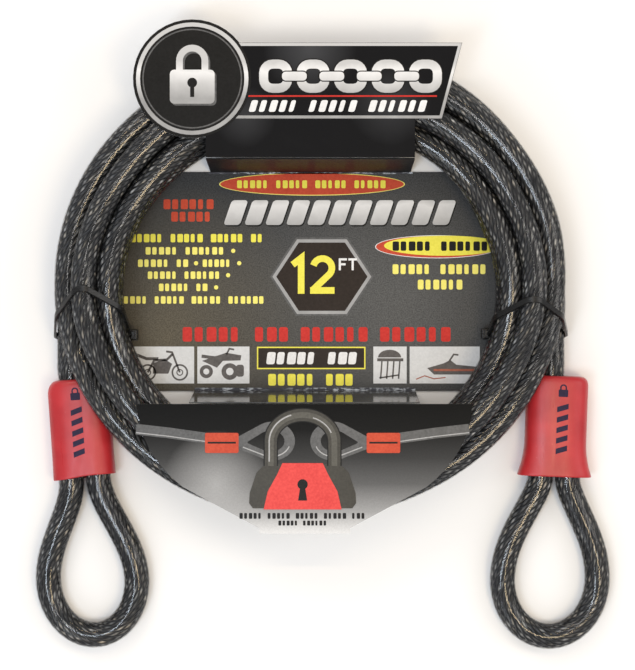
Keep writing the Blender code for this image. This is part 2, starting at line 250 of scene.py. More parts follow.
# Below the leads, the turn that moves from the fifth place to the sixth lies on top of the sleeves.
STEP_MARGIN = 0.002
STEP_TURN = (0.44, 1.04)
STEP_EASE = 0.10
STEP_MOVES = (4.5, 5.3)


def smooth(t):
    t = np.clip(t, 0.0, 1.0)
    return t * t * (3 - 2 * t)


def bundle_places(moved):
    """The spread and height of the places that the cable has reached after each number of moves."""
    lower = np.floor(moved).astype(int)
    share = (moved - lower)[:, None]
    places = np.array(PLACES + [PLACES[0], PLACES[0]])
    here = places[np.clip(lower, 0, len(PLACES) + 1)]
    there = places[np.clip(lower + 1, 0, len(PLACES) + 1)]
    return (here + (there - here) * share).T


def pin_leads(target, progress, start, stop, leads):
    """Bends the first and last stretches of a route's section to the leads."""
    pins = np.zeros(len(progress))
    runs = (progress - start, stop - progress)
    for lead, run in zip(leads, runs):
        weight = 1 - smooth(run / PIN_RUN)
        pinned = np.array([np.hypot(*lead), LEAD_HEIGHT])
        target = target * (1 - weight[:, None]) + pinned * weight[:, None]
        pins = np.maximum(pins, weight)
    return target, pins


def push_apart(section):
    """How turns that lie closer than a diameter move away from each other in one round."""
    push = np.zeros_like(section)
    for shift in range(STEPS_PER_TURN, len(section), STEPS_PER_TURN):
        gap = section[shift:] - section[:-shift]
        distance = np.maximum(np.linalg.norm(gap, axis=1), 1e-6)
        overlap = np.maximum(TURN_GAP - distance, 0.0) * PUSH
        move = gap / distance[:, None] * overlap[:, None]
        push[shift:] += move
        push[:-shift] -= move
    return push


def settle(target, pins, outer, inner, over_sleeves, step_floor):
    """Moves the turns off each other inside the coil's outline and, where told to, over its step."""
    outermost = np.maximum(outer - CABLE_RADIUS + OUTER_SLACK, target[:, 0])
    innermost = inner + CABLE_RADIUS - INNER_SLACK
    lowest = np.minimum(LOWEST, target[:, 1])
    section = target.copy()
    for _ in range(SETTLE_ROUNDS):
        section = section + push_apart(section)
        middle = section[1:-1]
        section[1:-1] = middle + EVEN_OUT * ((section[:-2] + section[2:]) / 2 - middle)
        section += DRAW_BACK * (target - section)
        section += pins[:, None] * PIN_BACK * (target - section)
        section[:, 0] = np.minimum(section[:, 0], outermost)
        section[:, 0] = np.maximum(section[:, 0], innermost)
        section[:, 1] = np.clip(section[:, 1], lowest, HIGHEST)
        on_step = over_sleeves & (section[:, 0] > outer - STEP_DEPTH - STEP_MARGIN)
        section[:, 1] = np.where(on_step, np.maximum(section[:, 1], step_floor), section[:, 1])
    return section


def coil_route():
    """The wound part of the cable: 5.5 clockwise turns from the left lead to the right one."""
    leads = [np.array([end["lead_x"], LEAD_TOP]) - COIL_CENTRE for end in ENDS.values()]
    start = math.pi - math.atan2(leads[0][1], leads[0][0]) % (2 * math.pi)
    stop = 2 * math.pi * TURNS - math.atan2(leads[1][1], leads[1][0])
    step = 2 * math.pi / STEPS_PER_TURN
    progress = np.arange(math.ceil(start / step), math.floor(stop / step) + 1) * step
    angle = math.pi - progress
    outer = coil_outer(angle)
    half = coil_width(angle) / 2 - CABLE_RADIUS
    passes = progress / (2 * math.pi)
    in_turn = passes % 1.0
    moved = np.floor(passes) + smooth((in_turn - MOVE_START) / MOVE_RUN)
    spread, height = bundle_places(moved)
    stray = sum(size * np.sin(progress * rate + phase) for size, rate, phase in WAVES)
    radius = outer - CABLE_RADIUS - half + half * spread + stray
    target, pins = pin_leads(np.stack([radius, height], axis=1), progress, start, stop, leads)
    step_on, step_off = STEP_TURN
    below = np.minimum(smooth((in_turn - step_on) / STEP_EASE), smooth((step_off - in_turn) / STEP_EASE))
    step_floor = (STEP_TOP + CABLE_RADIUS) * below
    over_sleeves = (pins < PIN_NONE) & (moved > STEP_MOVES[0]) & (moved < STEP_MOVES[1])
    section = settle(target, pins, outer, outer - coil_width(angle), over_sleeves, step_floor)
    flat = COIL_CENTRE + section[:, :1] * np.stack([np.cos(angle), np.sin(angle)], axis=1)
    return np.column_stack([flat, section[:, 1]])


def end_point(end, along, across, height):
    """A point in an end's own frame: along its axis from the sleeve's top, and across it."""
    lean = end["tilt"]
    x = end["top"][0] + math.sin(lean) * along + math.cos(lean) * across
    y = end["top"][1] - math.cos(lean) * along + math.sin(lean) * across
    return np.array([x, y, height])


def angles(count):
    """Even steps all the way round a circle."""
    return [2 * math.pi * k / count for k in range(count)]


def bezier(a, b, c, d, t):
    u = 1 - t
    return a * u**3 + 3 * b * u * u * t + 3 * c * u * t * t + d * t**3


def cable_height(end, along):
    """The ends lie level in their sleeves, and sink until the eye's tip touches the floor."""
    if along < SLEEVE_LENGTH:
        return SLEEVE_HALF_THICK
    share = (along - SLEEVE_LENGTH) / end["eye_tip"]
    return SLEEVE_HALF_THICK + (TIP_HEIGHT - SLEEVE_HALF_THICK) * min(1.0, share)


def eye_half(end):
    """One side of the eye from the sleeve's mouth to its tip, as (along, across) pairs."""
    points = []
    side_steps = 9
    for i in range(side_steps):
        t = i / side_steps
        across = bezier(LEG_OFFSET, LEG_OFFSET, end["eye_half_width"], end["eye_half_width"], t)
        along = bezier(0.0, end["spread_start"], end["spread_end"], end["eye_widest"], t)
        points.append((SLEEVE_LENGTH + along, across))
    tip_steps = 7
    for i in range(tip_steps + 1):
        turn = math.pi / 2 * i / tip_steps
        across = end["eye_half_width"] * math.cos(turn)
        along = end["eye_widest"] + (end["eye_tip"] - end["eye_widest"]) * math.sin(turn)
        points.append((SLEEVE_LENGTH + along, across))
    return points


def end_route(end):
    """The cable's centre line: down the lead, through the ferrule, round the eye and back."""
    lead_steps = 5
    lead_stop = end_point(end, 0.0, LEAD_OFFSET, LEAD_HEIGHT)
    lead = []
    for i in range(lead_steps):
        y = LEAD_TOP + (lead_stop[1] - LEAD_TOP) * i / lead_steps
        lead.append(np.array([end["lead_x"], y, LEAD_HEIGHT]))
    flat = [(0.0, LEAD_OFFSET)]
    shift_steps = 4
    for i in range(1, shift_steps):
        ease = (1 - math.cos(math.pi * i / shift_steps)) / 2
        flat.append((FERRULE_START * i / shift_steps, LEAD_OFFSET + (-LEG_OFFSET - LEAD_OFFSET) * ease))
    ferrule_steps = 4
    straight = [FERRULE_START + FERRULE_LENGTH * i / ferrule_steps for i in range(ferrule_steps + 1)]
    flat += [(along, -LEG_OFFSET) for along in straight]
    half = eye_half(end)
    flat += [(along, -across) for along, across in half]
    flat += [(along, across) for along, across in reversed(half[:-1])]
    flat += [(along, LEG_OFFSET) for along in reversed(straight)]
    flat += [(TAIL_END, LEG_OFFSET)]
    rest = [end_point(end, along, across, cable_height(end, along)) for along, across in flat]
    return np.array(lead + rest)


def run_along(points):
    """How far along a line each of its points is."""
    return np.concatenate([[0], np.cumsum(np.linalg.norm(np.diff(points, axis=0), axis=1))])


def resample(points, spacing):
    """Points at an even spacing along a smooth curve through the given ones."""
    padded = np.vstack([2 * points[0] - points[1], points, 2 * points[-1] - points[-2]])
    fine = []
    for i in range(1, len(padded) - 2):
        a, b, c, d = padded[i - 1 : i + 3]
        count = max(2, int(np.linalg.norm(c - b) / spacing * 3))
        t = np.linspace(0, 1, count, endpoint=False)[:, None]
        second = 2 * a - 5 * b + 4 * c - d
        third = 3 * b - a - 3 * c + d
        fine.append(0.5 * (2 * b + (c - a) * t + second * t**2 + third * t**3))
    fine = np.vstack(fine + [points[-1:]])
    run = run_along(fine)
    count = max(2, round(run[-1] / spacing)) + 1
    even = np.linspace(0, run[-1], count)
    return np.column_stack([np.interp(even, run, fine[:, k]) for k in range(3)])


# ---- Mesh helpers --------------------------------------------------------------------------------

UV_PER_METRE = 100
TUBE_SHARP_ANGLE = 60


def finish_mesh(name, verts, faces, material, smooth_angle=40):
    """A closed mesh object with its faces pointing out."""
    mesh = bpy.data.meshes.new(name)
    mesh.from_pydata([tuple(v) for v in verts], [], faces)
    work = bmesh.new()
    work.from_mesh(mesh)
    bmesh.ops.recalc_face_normals(work, faces=work.faces)
    work.to_mesh(mesh)
    work.free()
    if smooth_angle is not None:
        mesh.shade_smooth()
        mesh.set_sharp_from_angle(angle=math.radians(smooth_angle))
    mesh.materials.append(material)
    return add_object(name, mesh)


def tube_mesh(name, route, radii, twist, material):
    """A capped tube whose section, given by its radii all the way round, turns by twist for each
    metre. Its UVs are the share of the way round that section, and the way along the route."""
    step = np.gradient(route, axis=0)
    forward = step / np.linalg.norm(step, axis=1)[:, None]
    side = np.cross(forward, [0.0, 0.0, 1.0])
    side /= np.linalg.norm(side, axis=1)[:, None]
    up = np.cross(side, forward)
    run = run_along(route)
    sides = len(radii)
    turn = 2 * np.pi * (np.arange(sides)[None, :] / sides + twist * run[:, None])
    across = np.cos(turn)[:, :, None] * side[:, None, :] + np.sin(turn)[:, :, None] * up[:, None, :]
    verts = (route[:, None, :] + radii[None, :, None] * across).reshape(-1, 3)
    faces = []
    uvs = []
    for i in range(len(route) - 1):
        a = i * sides
        low, high = run[i] * UV_PER_METRE, run[i + 1] * UV_PER_METRE
        for j in range(sides):
            k = (j + 1) % sides
            faces.append((a + j, a + k, a + sides + k, a + sides + j))
            uvs += [(j / sides, low), ((j + 1) / sides, low), ((j + 1) / sides, high), (j / sides, high)]
    last = (len(route) - 1) * sides
    faces.append(tuple(range(sides - 1, -1, -1)))
    faces.append(tuple(range(last, last + sides)))
    uvs += [(0.5, run[0] * UV_PER_METRE)] * sides + [(0.5, run[-1] * UV_PER_METRE)] * sides
    mesh = bpy.data.meshes.new(name)
    mesh.from_pydata(verts.tolist(), [], faces)
    layer = mesh.uv_layers.new(name="along")
    layer.data.foreach_set("uv", np.array(uvs, dtype=np.float32).ravel())
    mesh.shade_smooth()
    mesh.set_sharp_from_angle(angle=math.radians(TUBE_SHARP_ANGLE))
    mesh.materials.append(material)
    return add_object(name, mesh)


def paint(node, look):
    """Gives its material to a CAD node that is itself what is seen."""
    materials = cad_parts[node].data.materials
    materials.clear()
    materials.append(look)


# ---- Materials -----------------------------------------------------------------------------------


class Nodes:
    """A short way to build one material's node tree round its Principled shader."""

    def __init__(self, name):
        self.material = bpy.data.materials.new(name)
        self.material.use_nodes = True
        self.tree = self.material.node_tree
        self.shader = self.tree.nodes["Principled BSDF"]

    def add(self, kind, inputs=None, **settings):
        node = self.tree.nodes.new(kind)
        for key, value in settings.items():
            setattr(node, key, value)
        for key, value in (inputs or {}).items():
            self.feed(node.inputs[key], value)
        return node

    def feed(self, socket, value):
        """Links another node's output, or sets a constant."""
        if isinstance(value, bpy.types.NodeSocket):
            self.tree.links.new(value, socket)
        else:
            socket.default_value = value

    def set(self, **inputs):
        for key, value in inputs.items():
            self.feed(self.shader.inputs[key.replace("_", " ")], value)

    def math(self, operation, a, b=0.0):
        return self.add("ShaderNodeMath", {0: a, 1: b}, operation=operation).outputs[0]

    def times(self, a, b):
        return self.math("MULTIPLY", a, b)

    def plus(self, a, b):
        return self.math("ADD", a, b)

    def noise(self, coords, scale, detail=3.0, rough=0.55):
        node = self.add("ShaderNodeTexNoise", {"Scale": scale, "Detail": detail, "Roughness": rough})
        self.feed(node.inputs["Vector"], coords)
        return node.outputs["Fac"]

    def mottle(self, coords, scale, dark, light):
        """Soft patches of two tones."""
        return self.ramp(self.noise(coords, scale), (0.3, dark), (0.7, light))

    def ramp(self, value, *stops):
        node = self.add("ShaderNodeValToRGB", {"Fac": value})
        marks = node.color_ramp.elements
        while len(marks) < len(stops):
            marks.new(0.5)
        for mark, (place, colour) in zip(marks, stops):
            mark.position = place
            mark.color = (*colour, 1.0)
        return node.outputs["Color"]

    def mix(self, share, a, b, blend_type="MIX"):
        node = self.add("ShaderNodeMix", data_type="RGBA", blend_type=blend_type)
        self.feed(node.inputs[0], share)
        for socket, value in ((node.inputs[6], a), (node.inputs[7], b)):
            self.feed(socket, value if isinstance(value, bpy.types.NodeSocket) else (*value, 1.0))
        return node.outputs[2]

    def span(self, value, low, high):
        """0 where the value is low, 1 where it is high, straight between them and held outside."""
        node = self.add("ShaderNodeMapRange", {"Value": value, "From Min": low, "From Max": high})
        return node.outputs["Result"]

    def stretched(self, coords, scale):
        return self.add("ShaderNodeMapping", {"Vector": coords, "Scale": scale}).outputs[0]

    def flat(self, x, y):
        return self.add("ShaderNodeCombineXYZ", {"X": x, "Y": y}).outputs[0]

    def bump(self, height, distance, strength=1.0):
        node = self.add("ShaderNodeBump", {"Height": height, "Distance": distance, "Strength": strength})
        return node.outputs["Normal"]

    def coords(self, kind="Object"):
        return self.add("ShaderNodeTexCoord").outputs[kind]

    def axes(self, vector):
        split = self.add("ShaderNodeSeparateXYZ", {"Vector": vector})
        return split.outputs["X"], split.outputs["Y"], split.outputs["Z"]

    def glow(self, coords, centre, radius):
        """1 at a place given in millimetres, falling to 0 at the given distance from it."""
        place = (centre[0] * MM, centre[1] * MM, centre[2] * MM)
        away = self.add("ShaderNodeVectorMath", {0: coords, 1: place}, operation="DISTANCE")
        return self.span(away.outputs["Value"], radius * MM, 0.0)


def grey(value):
    return (value, value, value)


# A lean is how much of a turn the rope's pattern makes for each step of its UVs along it.
STRANDS = 12
STRAND_LAY = 0.050
STRAND_LEAN = -1 / (STRAND_LAY * UV_PER_METRE)
WIRES_ROUND = 23
WIRE_LEAN = 0.070
ROPE_SHOWN_RADIUS = 0.00565
STRAND_CENTRE = 0.00440
STRAND_RADIUS = ROPE_SHOWN_RADIUS - STRAND_CENTRE


def rope_material():
    """Twisted strands of galvanised wire. Each wire shows as one pale dash, a painted highlight,
    where it crosses a strand, some brighter than others and a few tinted tan as painted warm glints,
    with near black, faintly blue painted shade in the grooves between the strands."""
    n = Nodes("wire_rope")
    around, along, _ = n.axes(n.add("ShaderNodeUVMap", uv_map="along").outputs["UV"])
    drift = n.noise(n.flat(around, along), 0.9, detail=2.0)
    lean = n.plus(n.times(along, WIRE_LEAN + STRAND_LEAN), n.times(drift, 0.05))
    wire_turn = n.times(n.plus(around, lean), WIRES_ROUND)
    wire = n.math("ABSOLUTE", n.math("SINE", n.times(wire_turn, math.pi)))
    strand_turn = n.plus(n.times(around, STRANDS), 0.5)
    strand = n.math("ABSOLUTE", n.math("SINE", n.times(strand_turn, math.pi)))
    cell = n.flat(n.math("FLOOR", wire_turn), n.math("FLOOR", strand_turn))
    dice = n.add("ShaderNodeTexWhiteNoise", {"Vector": cell}, noise_dimensions="2D")
    chance = dice.outputs["Value"]
    patch = n.noise(n.coords(), 210.0, detail=2.0)
    # The crests of the wires and strands take a painted highlight, and the grooves between them painted
    # shade.
    crest_highlight_groove_shade = n.times(n.math("POWER", wire, 1.1), n.math("POWER", strand, 0.6))
    bright = n.ramp(chance, (0.05, grey(0.55)), (0.80, grey(1.0)))
    shade = n.ramp(
        n.times(crest_highlight_groove_shade, n.times(bright, n.span(patch, 0.10, 0.52))),
        (0.0, (0.003, 0.004, 0.006)),
        (0.30, (0.021, 0.022, 0.025)),
        (0.65, (0.150, 0.151, 0.150)),
        (1.0, (0.66, 0.66, 0.64)),
    )
    # A tan tint on a few wires, for painted warm glints.
    warm = n.times(n.span(chance, 0.86, 0.88), 0.35)
    n.set(
        Base_Color=n.mix(warm, shade, (1.0, 0.80, 0.52), "MULTIPLY"),
        Metallic=0.35,
        Roughness=0.30,
        Normal=n.bump(n.plus(n.times(wire, 0.7), strand), 0.00010),
    )
    return n.material


def jacket_material():
    """Clear smoke vinyl: mostly see-through, with a sharp gloss and a slight ripple."""
    n = Nodes("smoke_jacket")
    ripple = n.noise(n.coords(), 45.0, detail=1.0)
    n.set(
        Base_Color=(0.010, 0.010, 0.010, 1.0),
        Roughness=0.07,
        IOR=2.0,
        Alpha=0.24,
        Normal=n.bump(ripple, 0.0012, 0.02),
    )
    return n.material


def vinyl_material():
    """Moulded red vinyl with a fine grain, flow marks along it and a little scuffing."""
    n = Nodes("red_vinyl")
    coords = n.coords()
    flow = n.noise(n.stretched(coords, (1.0, 0.12, 1.0)), 260.0)
    cloud = n.noise(coords, 70.0, detail=2.0)
    grain = n.noise(coords, 2600.0, detail=2.0)
    red = n.ramp(cloud, (0.30, (0.40, 0.015, 0.020)), (0.70, (0.52, 0.028, 0.034)))
    scuff = n.ramp(n.noise(coords, 620.0, detail=5.0), (0.66, grey(0.0)), (0.78, grey(0.35)))
    n.set(
        Base_Color=n.mix(scuff, red, (0.62, 0.16, 0.15)),
        Roughness=n.span(flow, -0.3, 1.9),
        Subsurface_Weight=0.08,
        Subsurface_Radius=(0.003, 0.0006, 0.0005),
        Normal=n.bump(n.plus(n.times(flow, 0.6), grain), 0.00006, 0.6),
    )
    return n.material


def nylon_material():
    """Black nylon: satin, with faint drawing lines."""
    n = Nodes("black_nylon")
    coords = n.coords()
    lines = n.noise(n.stretched(coords, (0.2, 1.0, 0.2)), 2400.0)
    n.set(
        Base_Color=n.mottle(coords, 180.0, grey(0.004), grey(0.012)),
        Roughness=n.span(lines, -0.2, 2.2),
        Specular_IOR_Level=0.35,
        Normal=n.bump(lines, 0.00004, 0.6),
    )
    return n.material


def aluminium_material():
    """Pressed aluminium: matt, with drawn lines and grey patches."""
    n = Nodes("pressed_aluminium")
    coords = n.coords()
    lines = n.noise(n.stretched(coords, (1.0, 0.08, 1.0)), 1500.0)
    n.set(
        Base_Color=n.mottle(coords, 240.0, grey(0.40), (0.66, 0.67, 0.69)),
        Metallic=1.0,
        Roughness=n.span(lines, -0.8, 1.6),
        Normal=n.bump(lines, 0.00005, 0.7),
    )
    return n.material


def card_material(name, tone, roughness, gloss=0.2):
    """Card coated on its upper face with the printed tone; its cut edges and its back are bare."""
    n = Nodes(name)
    coords = n.coords()
    _, _, up = n.axes(n.coords("Normal"))
    paper = n.mix(n.noise(coords, 900.0), (0.50, 0.50, 0.48), (0.66, 0.66, 0.64))
    printed = tone(n, coords)
    face = n.span(up, 0.05, 0.06)
    grain = n.noise(coords, 1400.0, detail=4.0)
    buckle = n.noise(coords, 26.0, detail=1.0)
    n.set(
        Base_Color=n.mix(face, paper, printed),
        Roughness=n.plus(n.times(grain, 0.4), roughness - 0.2),
        Specular_IOR_Level=gloss,
        Normal=n.bump(n.plus(n.times(grain, 0.03), buckle), 0.0009, 0.30),
    )
    return n.material


# The soft patches in the card's tones, each a place in millimetres and a radius: painted highlights on
# the header, a painted sheen and a warmer tone on the panel, and a painted pool of light on the flap.
HEADER_PAINTED_HIGHLIGHT = ((-6.0, 130.0, 37.2), 21.0)
HEADER_FAINT_PAINTED_HIGHLIGHTS = [
    ((-76.0, 126.0, 37.2), 17.0),
    ((30.0, 106.0, 37.2), 19.0),
    ((-35.0, 100.0, 37.2), 14.0),
]
PANEL_SHEEN = ((30.0, 14.0, 0.6), 90.0)
PANEL_WARMTH = ((-74.0, 2.0, 0.6), 74.0)
FLAP_PAINTED_LIGHT = ((-48.0, -64.0, 37.2), 24.0)
FLAP_FADE_END = -0.086


def header_tone(n, coords):
    """Near black, with soft grey glows that are painted highlights."""
    # Painted highlights: soft grey patches on the black card.
    painted_highlights = n.glow(coords, *HEADER_PAINTED_HIGHLIGHT)
    for faint_highlight in HEADER_FAINT_PAINTED_HIGHLIGHTS:
        painted_highlights = n.math("MAXIMUM", painted_highlights, n.times(n.glow(coords, *faint_highlight), 0.6))
    mottle = n.times(n.noise(coords, 120.0), 0.10)
    return n.ramp(n.plus(painted_highlights, mottle), (0.05, (0.006, 0.006, 0.007)), (1.05, (0.050, 0.051, 0.055)))


def panel_tone(n, coords):
    """Dark grey with a mid-grey sheen in the middle, warmer and browner towards the lower left."""
    sheen = n.glow(coords, *PANEL_SHEEN)
    warm = n.times(n.glow(coords, *PANEL_WARMTH), 0.75)
    base = n.ramp(sheen, (0.0, (0.048, 0.051, 0.055)), (0.9, (0.118, 0.118, 0.115)))
    base = n.mix(warm, base, (0.170, 0.143, 0.092))
    dots = n.noise(coords, 1900.0, detail=2.0)
    return n.mix(n.span(dots, 0.35, 0.75), base, grey(0.17), "OVERLAY")


def flap_tone(n, coords):
    """Black at the fold, through mid grey, to pale grey at the tab, with a painted pool of light low on
    the left.
    """
    _, along, _ = n.axes(coords)
    fade = n.ramp(
        n.span(along, FLAP_FOLD * MM, FLAP_FADE_END),
        (0.0, grey(0.001)),
        (0.20, grey(0.006)),
        (0.42, grey(0.045)),
        (0.62, grey(0.12)),
        (0.84, grey(0.36)),
        (1.0, grey(0.74)),
    )
    # A painted pool of light, low on the left.
    lit = n.mix(n.times(n.glow(coords, *FLAP_PAINTED_LIGHT), 0.55), fade, grey(0.60))
    grain = n.ramp(n.noise(coords, 1500.0), (0.35, grey(0.80)), (0.65, grey(1.0)))
    return n.mix(0.5, lit, grain, "MULTIPLY")


def upper_neck_tone(n, coords):
    """Near black."""
    return n.mottle(coords, 60.0, (0.008, 0.008, 0.010), (0.016, 0.016, 0.018))


def lower_neck_tone(n, coords):
    """Dark grey, lightened as a painted reflection of the panel's print. The board is also glossy here,
    so that the print is mirrored in it.
    """
    return n.mottle(coords, 70.0, (0.030, 0.031, 0.033), (0.095, 0.095, 0.090))


def ink_material(name, dark, light, roughness=0.38):
    """One colour of print: a fine mottle between two close tones, under the card's gloss."""
    n = Nodes(name)
    coords = n.coords()
    mottle = n.plus(n.noise(coords, 900.0), n.times(n.noise(coords, 90.0), 0.5))
    n.set(
        Base_Color=n.ramp(mottle, (0.25, dark), (1.0, light)),
        Roughness=roughness,
        Specular_IOR_Level=0.12,
        Normal=n.bump(n.noise(coords, 1400.0), 0.00003, 0.5),
    )
    return n.material


def silver_material(name, low, high):
    """Silver print: grey at the foot of its band on the card, near white at its head."""
    n = Nodes(name)
    coords = n.coords()
    _, along, _ = n.axes(coords)
    ripple = n.plus(n.span(along, low * MM, high * MM), n.times(n.noise(coords, 110.0), 0.35))
    greys = [(0.10, grey(0.26)), (0.45, grey(0.50)), (0.80, grey(0.76)), (1.0, grey(0.52))]
    n.set(
        Base_Color=n.ramp(ripple, *greys),
        Roughness=0.36,
        Normal=n.bump(n.noise(coords, 1500.0), 0.00003, 0.5),
    )
    return n.material


def fold_wear_and_glint_material():
    """Ink broken along a fold: specks of pale, slightly blue colour drawn out along it through a dark
    coat, partly paper where the coat has cracked and partly painted glints on the crease.
    """
    n = Nodes("fold_wear_and_glint")
    coords = n.stretched(n.coords(), (0.3, 1.0, 1.0))
    specks = n.noise(coords, 1100.0, detail=4.0, rough=0.7)
    patches = n.noise(coords, 90.0, detail=2.0)
    shown = n.times(n.span(specks, 0.50, 0.60), n.span(patches, 0.30, 0.55))
    n.set(Base_Color=n.mix(shown, (0.030, 0.032, 0.045), (0.55, 0.60, 0.66)), Roughness=0.6)
    return n.material


# ---- The cable -----------------------------------------------------------------------------------

ROPE_POINTS_PER_STRAND = 4
ROPE_STEP = 0.0020
JACKET_SIDES = 32
JACKET_STEP = 0.0025


def rope_section():
    """The common outline of a ring of strands, as radii that start in the groove between two."""
    sides = STRANDS * ROPE_POINTS_PER_STRAND
    sector = 2 * np.pi / STRANDS
    off = np.arange(sides) % ROPE_POINTS_PER_STRAND * 2 * np.pi / sides - sector / 2
    return STRAND_CENTRE * np.cos(off) + np.sqrt(STRAND_RADIUS**2 - (STRAND_CENTRE * np.sin(off)) ** 2)


def make_cable(coil, ends):
    """Three stretches of one cable: the coil, and an end on each side from its tie."""
    rope_look = rope_material()
    jacket_look = jacket_material()
    strands = rope_section()
    skin = np.full(JACKET_SIDES, CABLE_RADIUS)
    stretches = [("wound", coil, "bundle")] + [(side, ends[side], f"{side}_end") for side in ENDS]
    for name, route, body in stretches:
        even = resample(route, JACKET_STEP)
        fine = resample(route, ROPE_STEP)
        rope = tube_mesh(f"{name}_cable_rope", fine, strands, -1 / STRAND_LAY, rope_look)
        jacket = tube_mesh(f"{name}_cable_jacket", even, skin, 0.0, jacket_look)
        if name == "wound":
            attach(rope, body)
            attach(jacket, body)
            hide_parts("cable_coil")
        else:
            for piece in (rope, jacket):
                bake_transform(piece)
            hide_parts(f"{name}_end_jacket")
            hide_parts(f"{name}_end_wire_rope")


# ---- The sleeves and ferrules --------------------------------------------------------------------

SLEEVE_SIDES = 64
SLEEVE_SQUARE = 2.8
SLEEVE_FLARE_RUN = 0.016
SLEEVE_LIP_ROUND = (0.0006, 0.0003)
SLEEVE_TOP_ROUND = (0.0025, 0.0016)
BORE_CLEARANCE = 0.0002
SLEEVE_STEPS = [0.0, 0.0002, 0.0006, 0.0012, 0.002, 0.003, 0.0042, 0.0056, 0.0072, 0.010, 0.014, 0.019]
SLEEVE_STEPS += [0.024, 0.029, 0.033, 0.036, 0.039, 0.0415, 0.0435, 0.0450, 0.0459, 0.0463, 0.0465]


def rounding(along, run, depth):
    """How far an edge rounded over a run has drawn in at a place along it."""
    share = min(1.0, max(0.0, 1 - along / run))
    return depth * (1 - math.sqrt(1 - share * share))


def sleeve_size(end, along):
    """The sleeve's half width and half thickness: a round shoulder, straight sides, a flared mouth."""
    run, depth = end["corner"]
    flare = end["lip_half_width"] - SLEEVE_HALF_WIDTH
    mouth = max(0.0, (along - SLEEVE_LENGTH + SLEEVE_FLARE_RUN) / SLEEVE_FLARE_RUN)
    width = SLEEVE_HALF_WIDTH - rounding(along, run, depth) + flare * mouth**2.0
    thick = SLEEVE_HALF_THICK - rounding(along, *SLEEVE_TOP_ROUND)
    roll = rounding(SLEEVE_LENGTH - along, *SLEEVE_LIP_ROUND)
    return width - roll, thick - roll


def sleeve_ring(end, along, thinner=0.0):
    """One ring of the sleeve's wall, a squarish oval, its mouth cut slightly askew: shorter on
    top by the skew, and from one side to the other by the slant."""
    width, thick = sleeve_size(end, along)
    width -= thinner
    thick -= thinner
    lower = max(0.0, along / SLEEVE_LENGTH - 0.5) * 2
    skew = end["mouth_skew"] * lower
    slant = end["mouth_slant"] * lower
    ring = []
    for turn in angles(SLEEVE_SIDES):
        cos, sin = math.cos(turn), math.sin(turn)
        square = abs(cos / width) ** SLEEVE_SQUARE + abs(sin / thick) ** SLEEVE_SQUARE
        reach = square ** (-1 / SLEEVE_SQUARE)
        height = SLEEVE_HALF_THICK + reach * sin
        shorter = skew * (0.5 + 0.5 * sin) + slant * 0.5 * cos
        ring.append(end_point(end, along - shorter, reach * cos, height))
    return ring


def bore_ring(end, along):
    """The round hole in the sleeve's top, where the lead comes in."""
    radius = CABLE_RADIUS + BORE_CLEARANCE
    return [
        end_point(end, along, LEAD_OFFSET + radius * math.cos(t), LEAD_HEIGHT + radius * math.sin(t))
        for t in angles(SLEEVE_SIDES)
    ]


def loft(name, rings, material, smooth_angle=40):
    """A closed ring-shaped body through rings of the same number of points."""
    sides = len(rings[0])
    faces = []
    for i in range(len(rings)):
        a = i * sides
        b = (i + 1) % len(rings) * sides
        for j in range(sides):
            k = (j + 1) % sides
            faces.append((a + j, a + k, b + k, b + j))
    return finish_mesh(name, [p for ring in rings for p in ring], faces, material, smooth_angle)


def make_sleeve(side, vinyl):
    end = ENDS[side]
    outer = [sleeve_ring(end, along) for along in reversed(SLEEVE_STEPS)]
    inner = [sleeve_ring(end, along, SLEEVE_WALL) for along in SLEEVE_STEPS if along > SLEEVE_WALL]
    rings = outer + [bore_ring(end, 0.0), bore_ring(end, SLEEVE_WALL)] + inner
    sleeve = loft(f"{side}_moulded_cover", rings, vinyl)
    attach(sleeve, f"{side}_end")
    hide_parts(f"{side}_sleeve")


# The print on a sleeve, in millimetres from the middle of its top end.
SLEEVE_PADLOCK = (0.0, -7.8, 4.4)
BAR_COUNT = 5
BAR_FIRST = -15.8
BAR_PITCH = 4.8
BAR_HALF_WIDTH = 2.6
BAR_HEIGHT = 2.5
BAR_RISE = 0.32


def make_sleeve_print(side, navy):
    """A small padlock and five slanted bars down the front of the sleeve."""
    end = ENDS[side]

    def on_sleeve(x, y):
        across = end["print_across"] + x * MM
        off_top = abs(across / SLEEVE_HALF_WIDTH) ** SLEEVE_SQUARE
        drop = SLEEVE_HALF_THICK * (1 - (1 - off_top) ** (1 / SLEEVE_SQUARE))
        return end_point(end, -y * MM, across, 2 * SLEEVE_HALF_THICK - drop)

    ink = Ink(f"{side}_cover_print", navy, on_sleeve)
    padlock(ink, *SLEEVE_PADLOCK)
    for k in range(BAR_COUNT):
        low = BAR_FIRST - k * BAR_PITCH
        ink.plate(oblong(-BAR_HALF_WIDTH, low, BAR_HALF_WIDTH, low + BAR_HEIGHT, rise=BAR_RISE))
    ink.attach(f"{side}_end", "red_vinyl")


# ---- The cable ties ------------------------------------------------------------------------------

TIE_STEPS = 96
TIE_SLACK = 0.0003
TIE_BEVEL_SHARE = 0.8
TIE_HEAD_ROUND = 0.0007
TIE_TAIL_LENGTH = 0.0026
TIE_TAIL_RISE = 0.0012


def tie_y(tie, z):
    """The strap runs straight up at its back and leans forward over the coil."""
    return tie["back_y"] + (tie["front_y"] - tie["back_y"]) * (z / TIE_HIGH) ** 2


def tie_crossings(tie, sign, routes):
    """Where the cable passes through the tie's loop, as (x, z) pairs."""
    places = []
    for route in routes:
        gap = route[:, 1] - np.array([tie_y(tie, z) for z in route[:, 2]])
        for i in np.nonzero(gap[:-1] * gap[1:] < 0)[0]:
            share = gap[i] / (gap[i] - gap[i + 1])
            place = route[i] + (route[i + 1] - route[i]) * share
            if place[0] * sign > 0:
                places.append((place[0], place[2]))
    return np.array(places)


def round_cables(places, way, gap):
    """The (x, z) place that a gap keeps from whichever cable lies furthest out in a direction."""
    return places[np.argmax(places @ way)] + way * (CABLE_RADIUS + TIE_SLACK + gap)


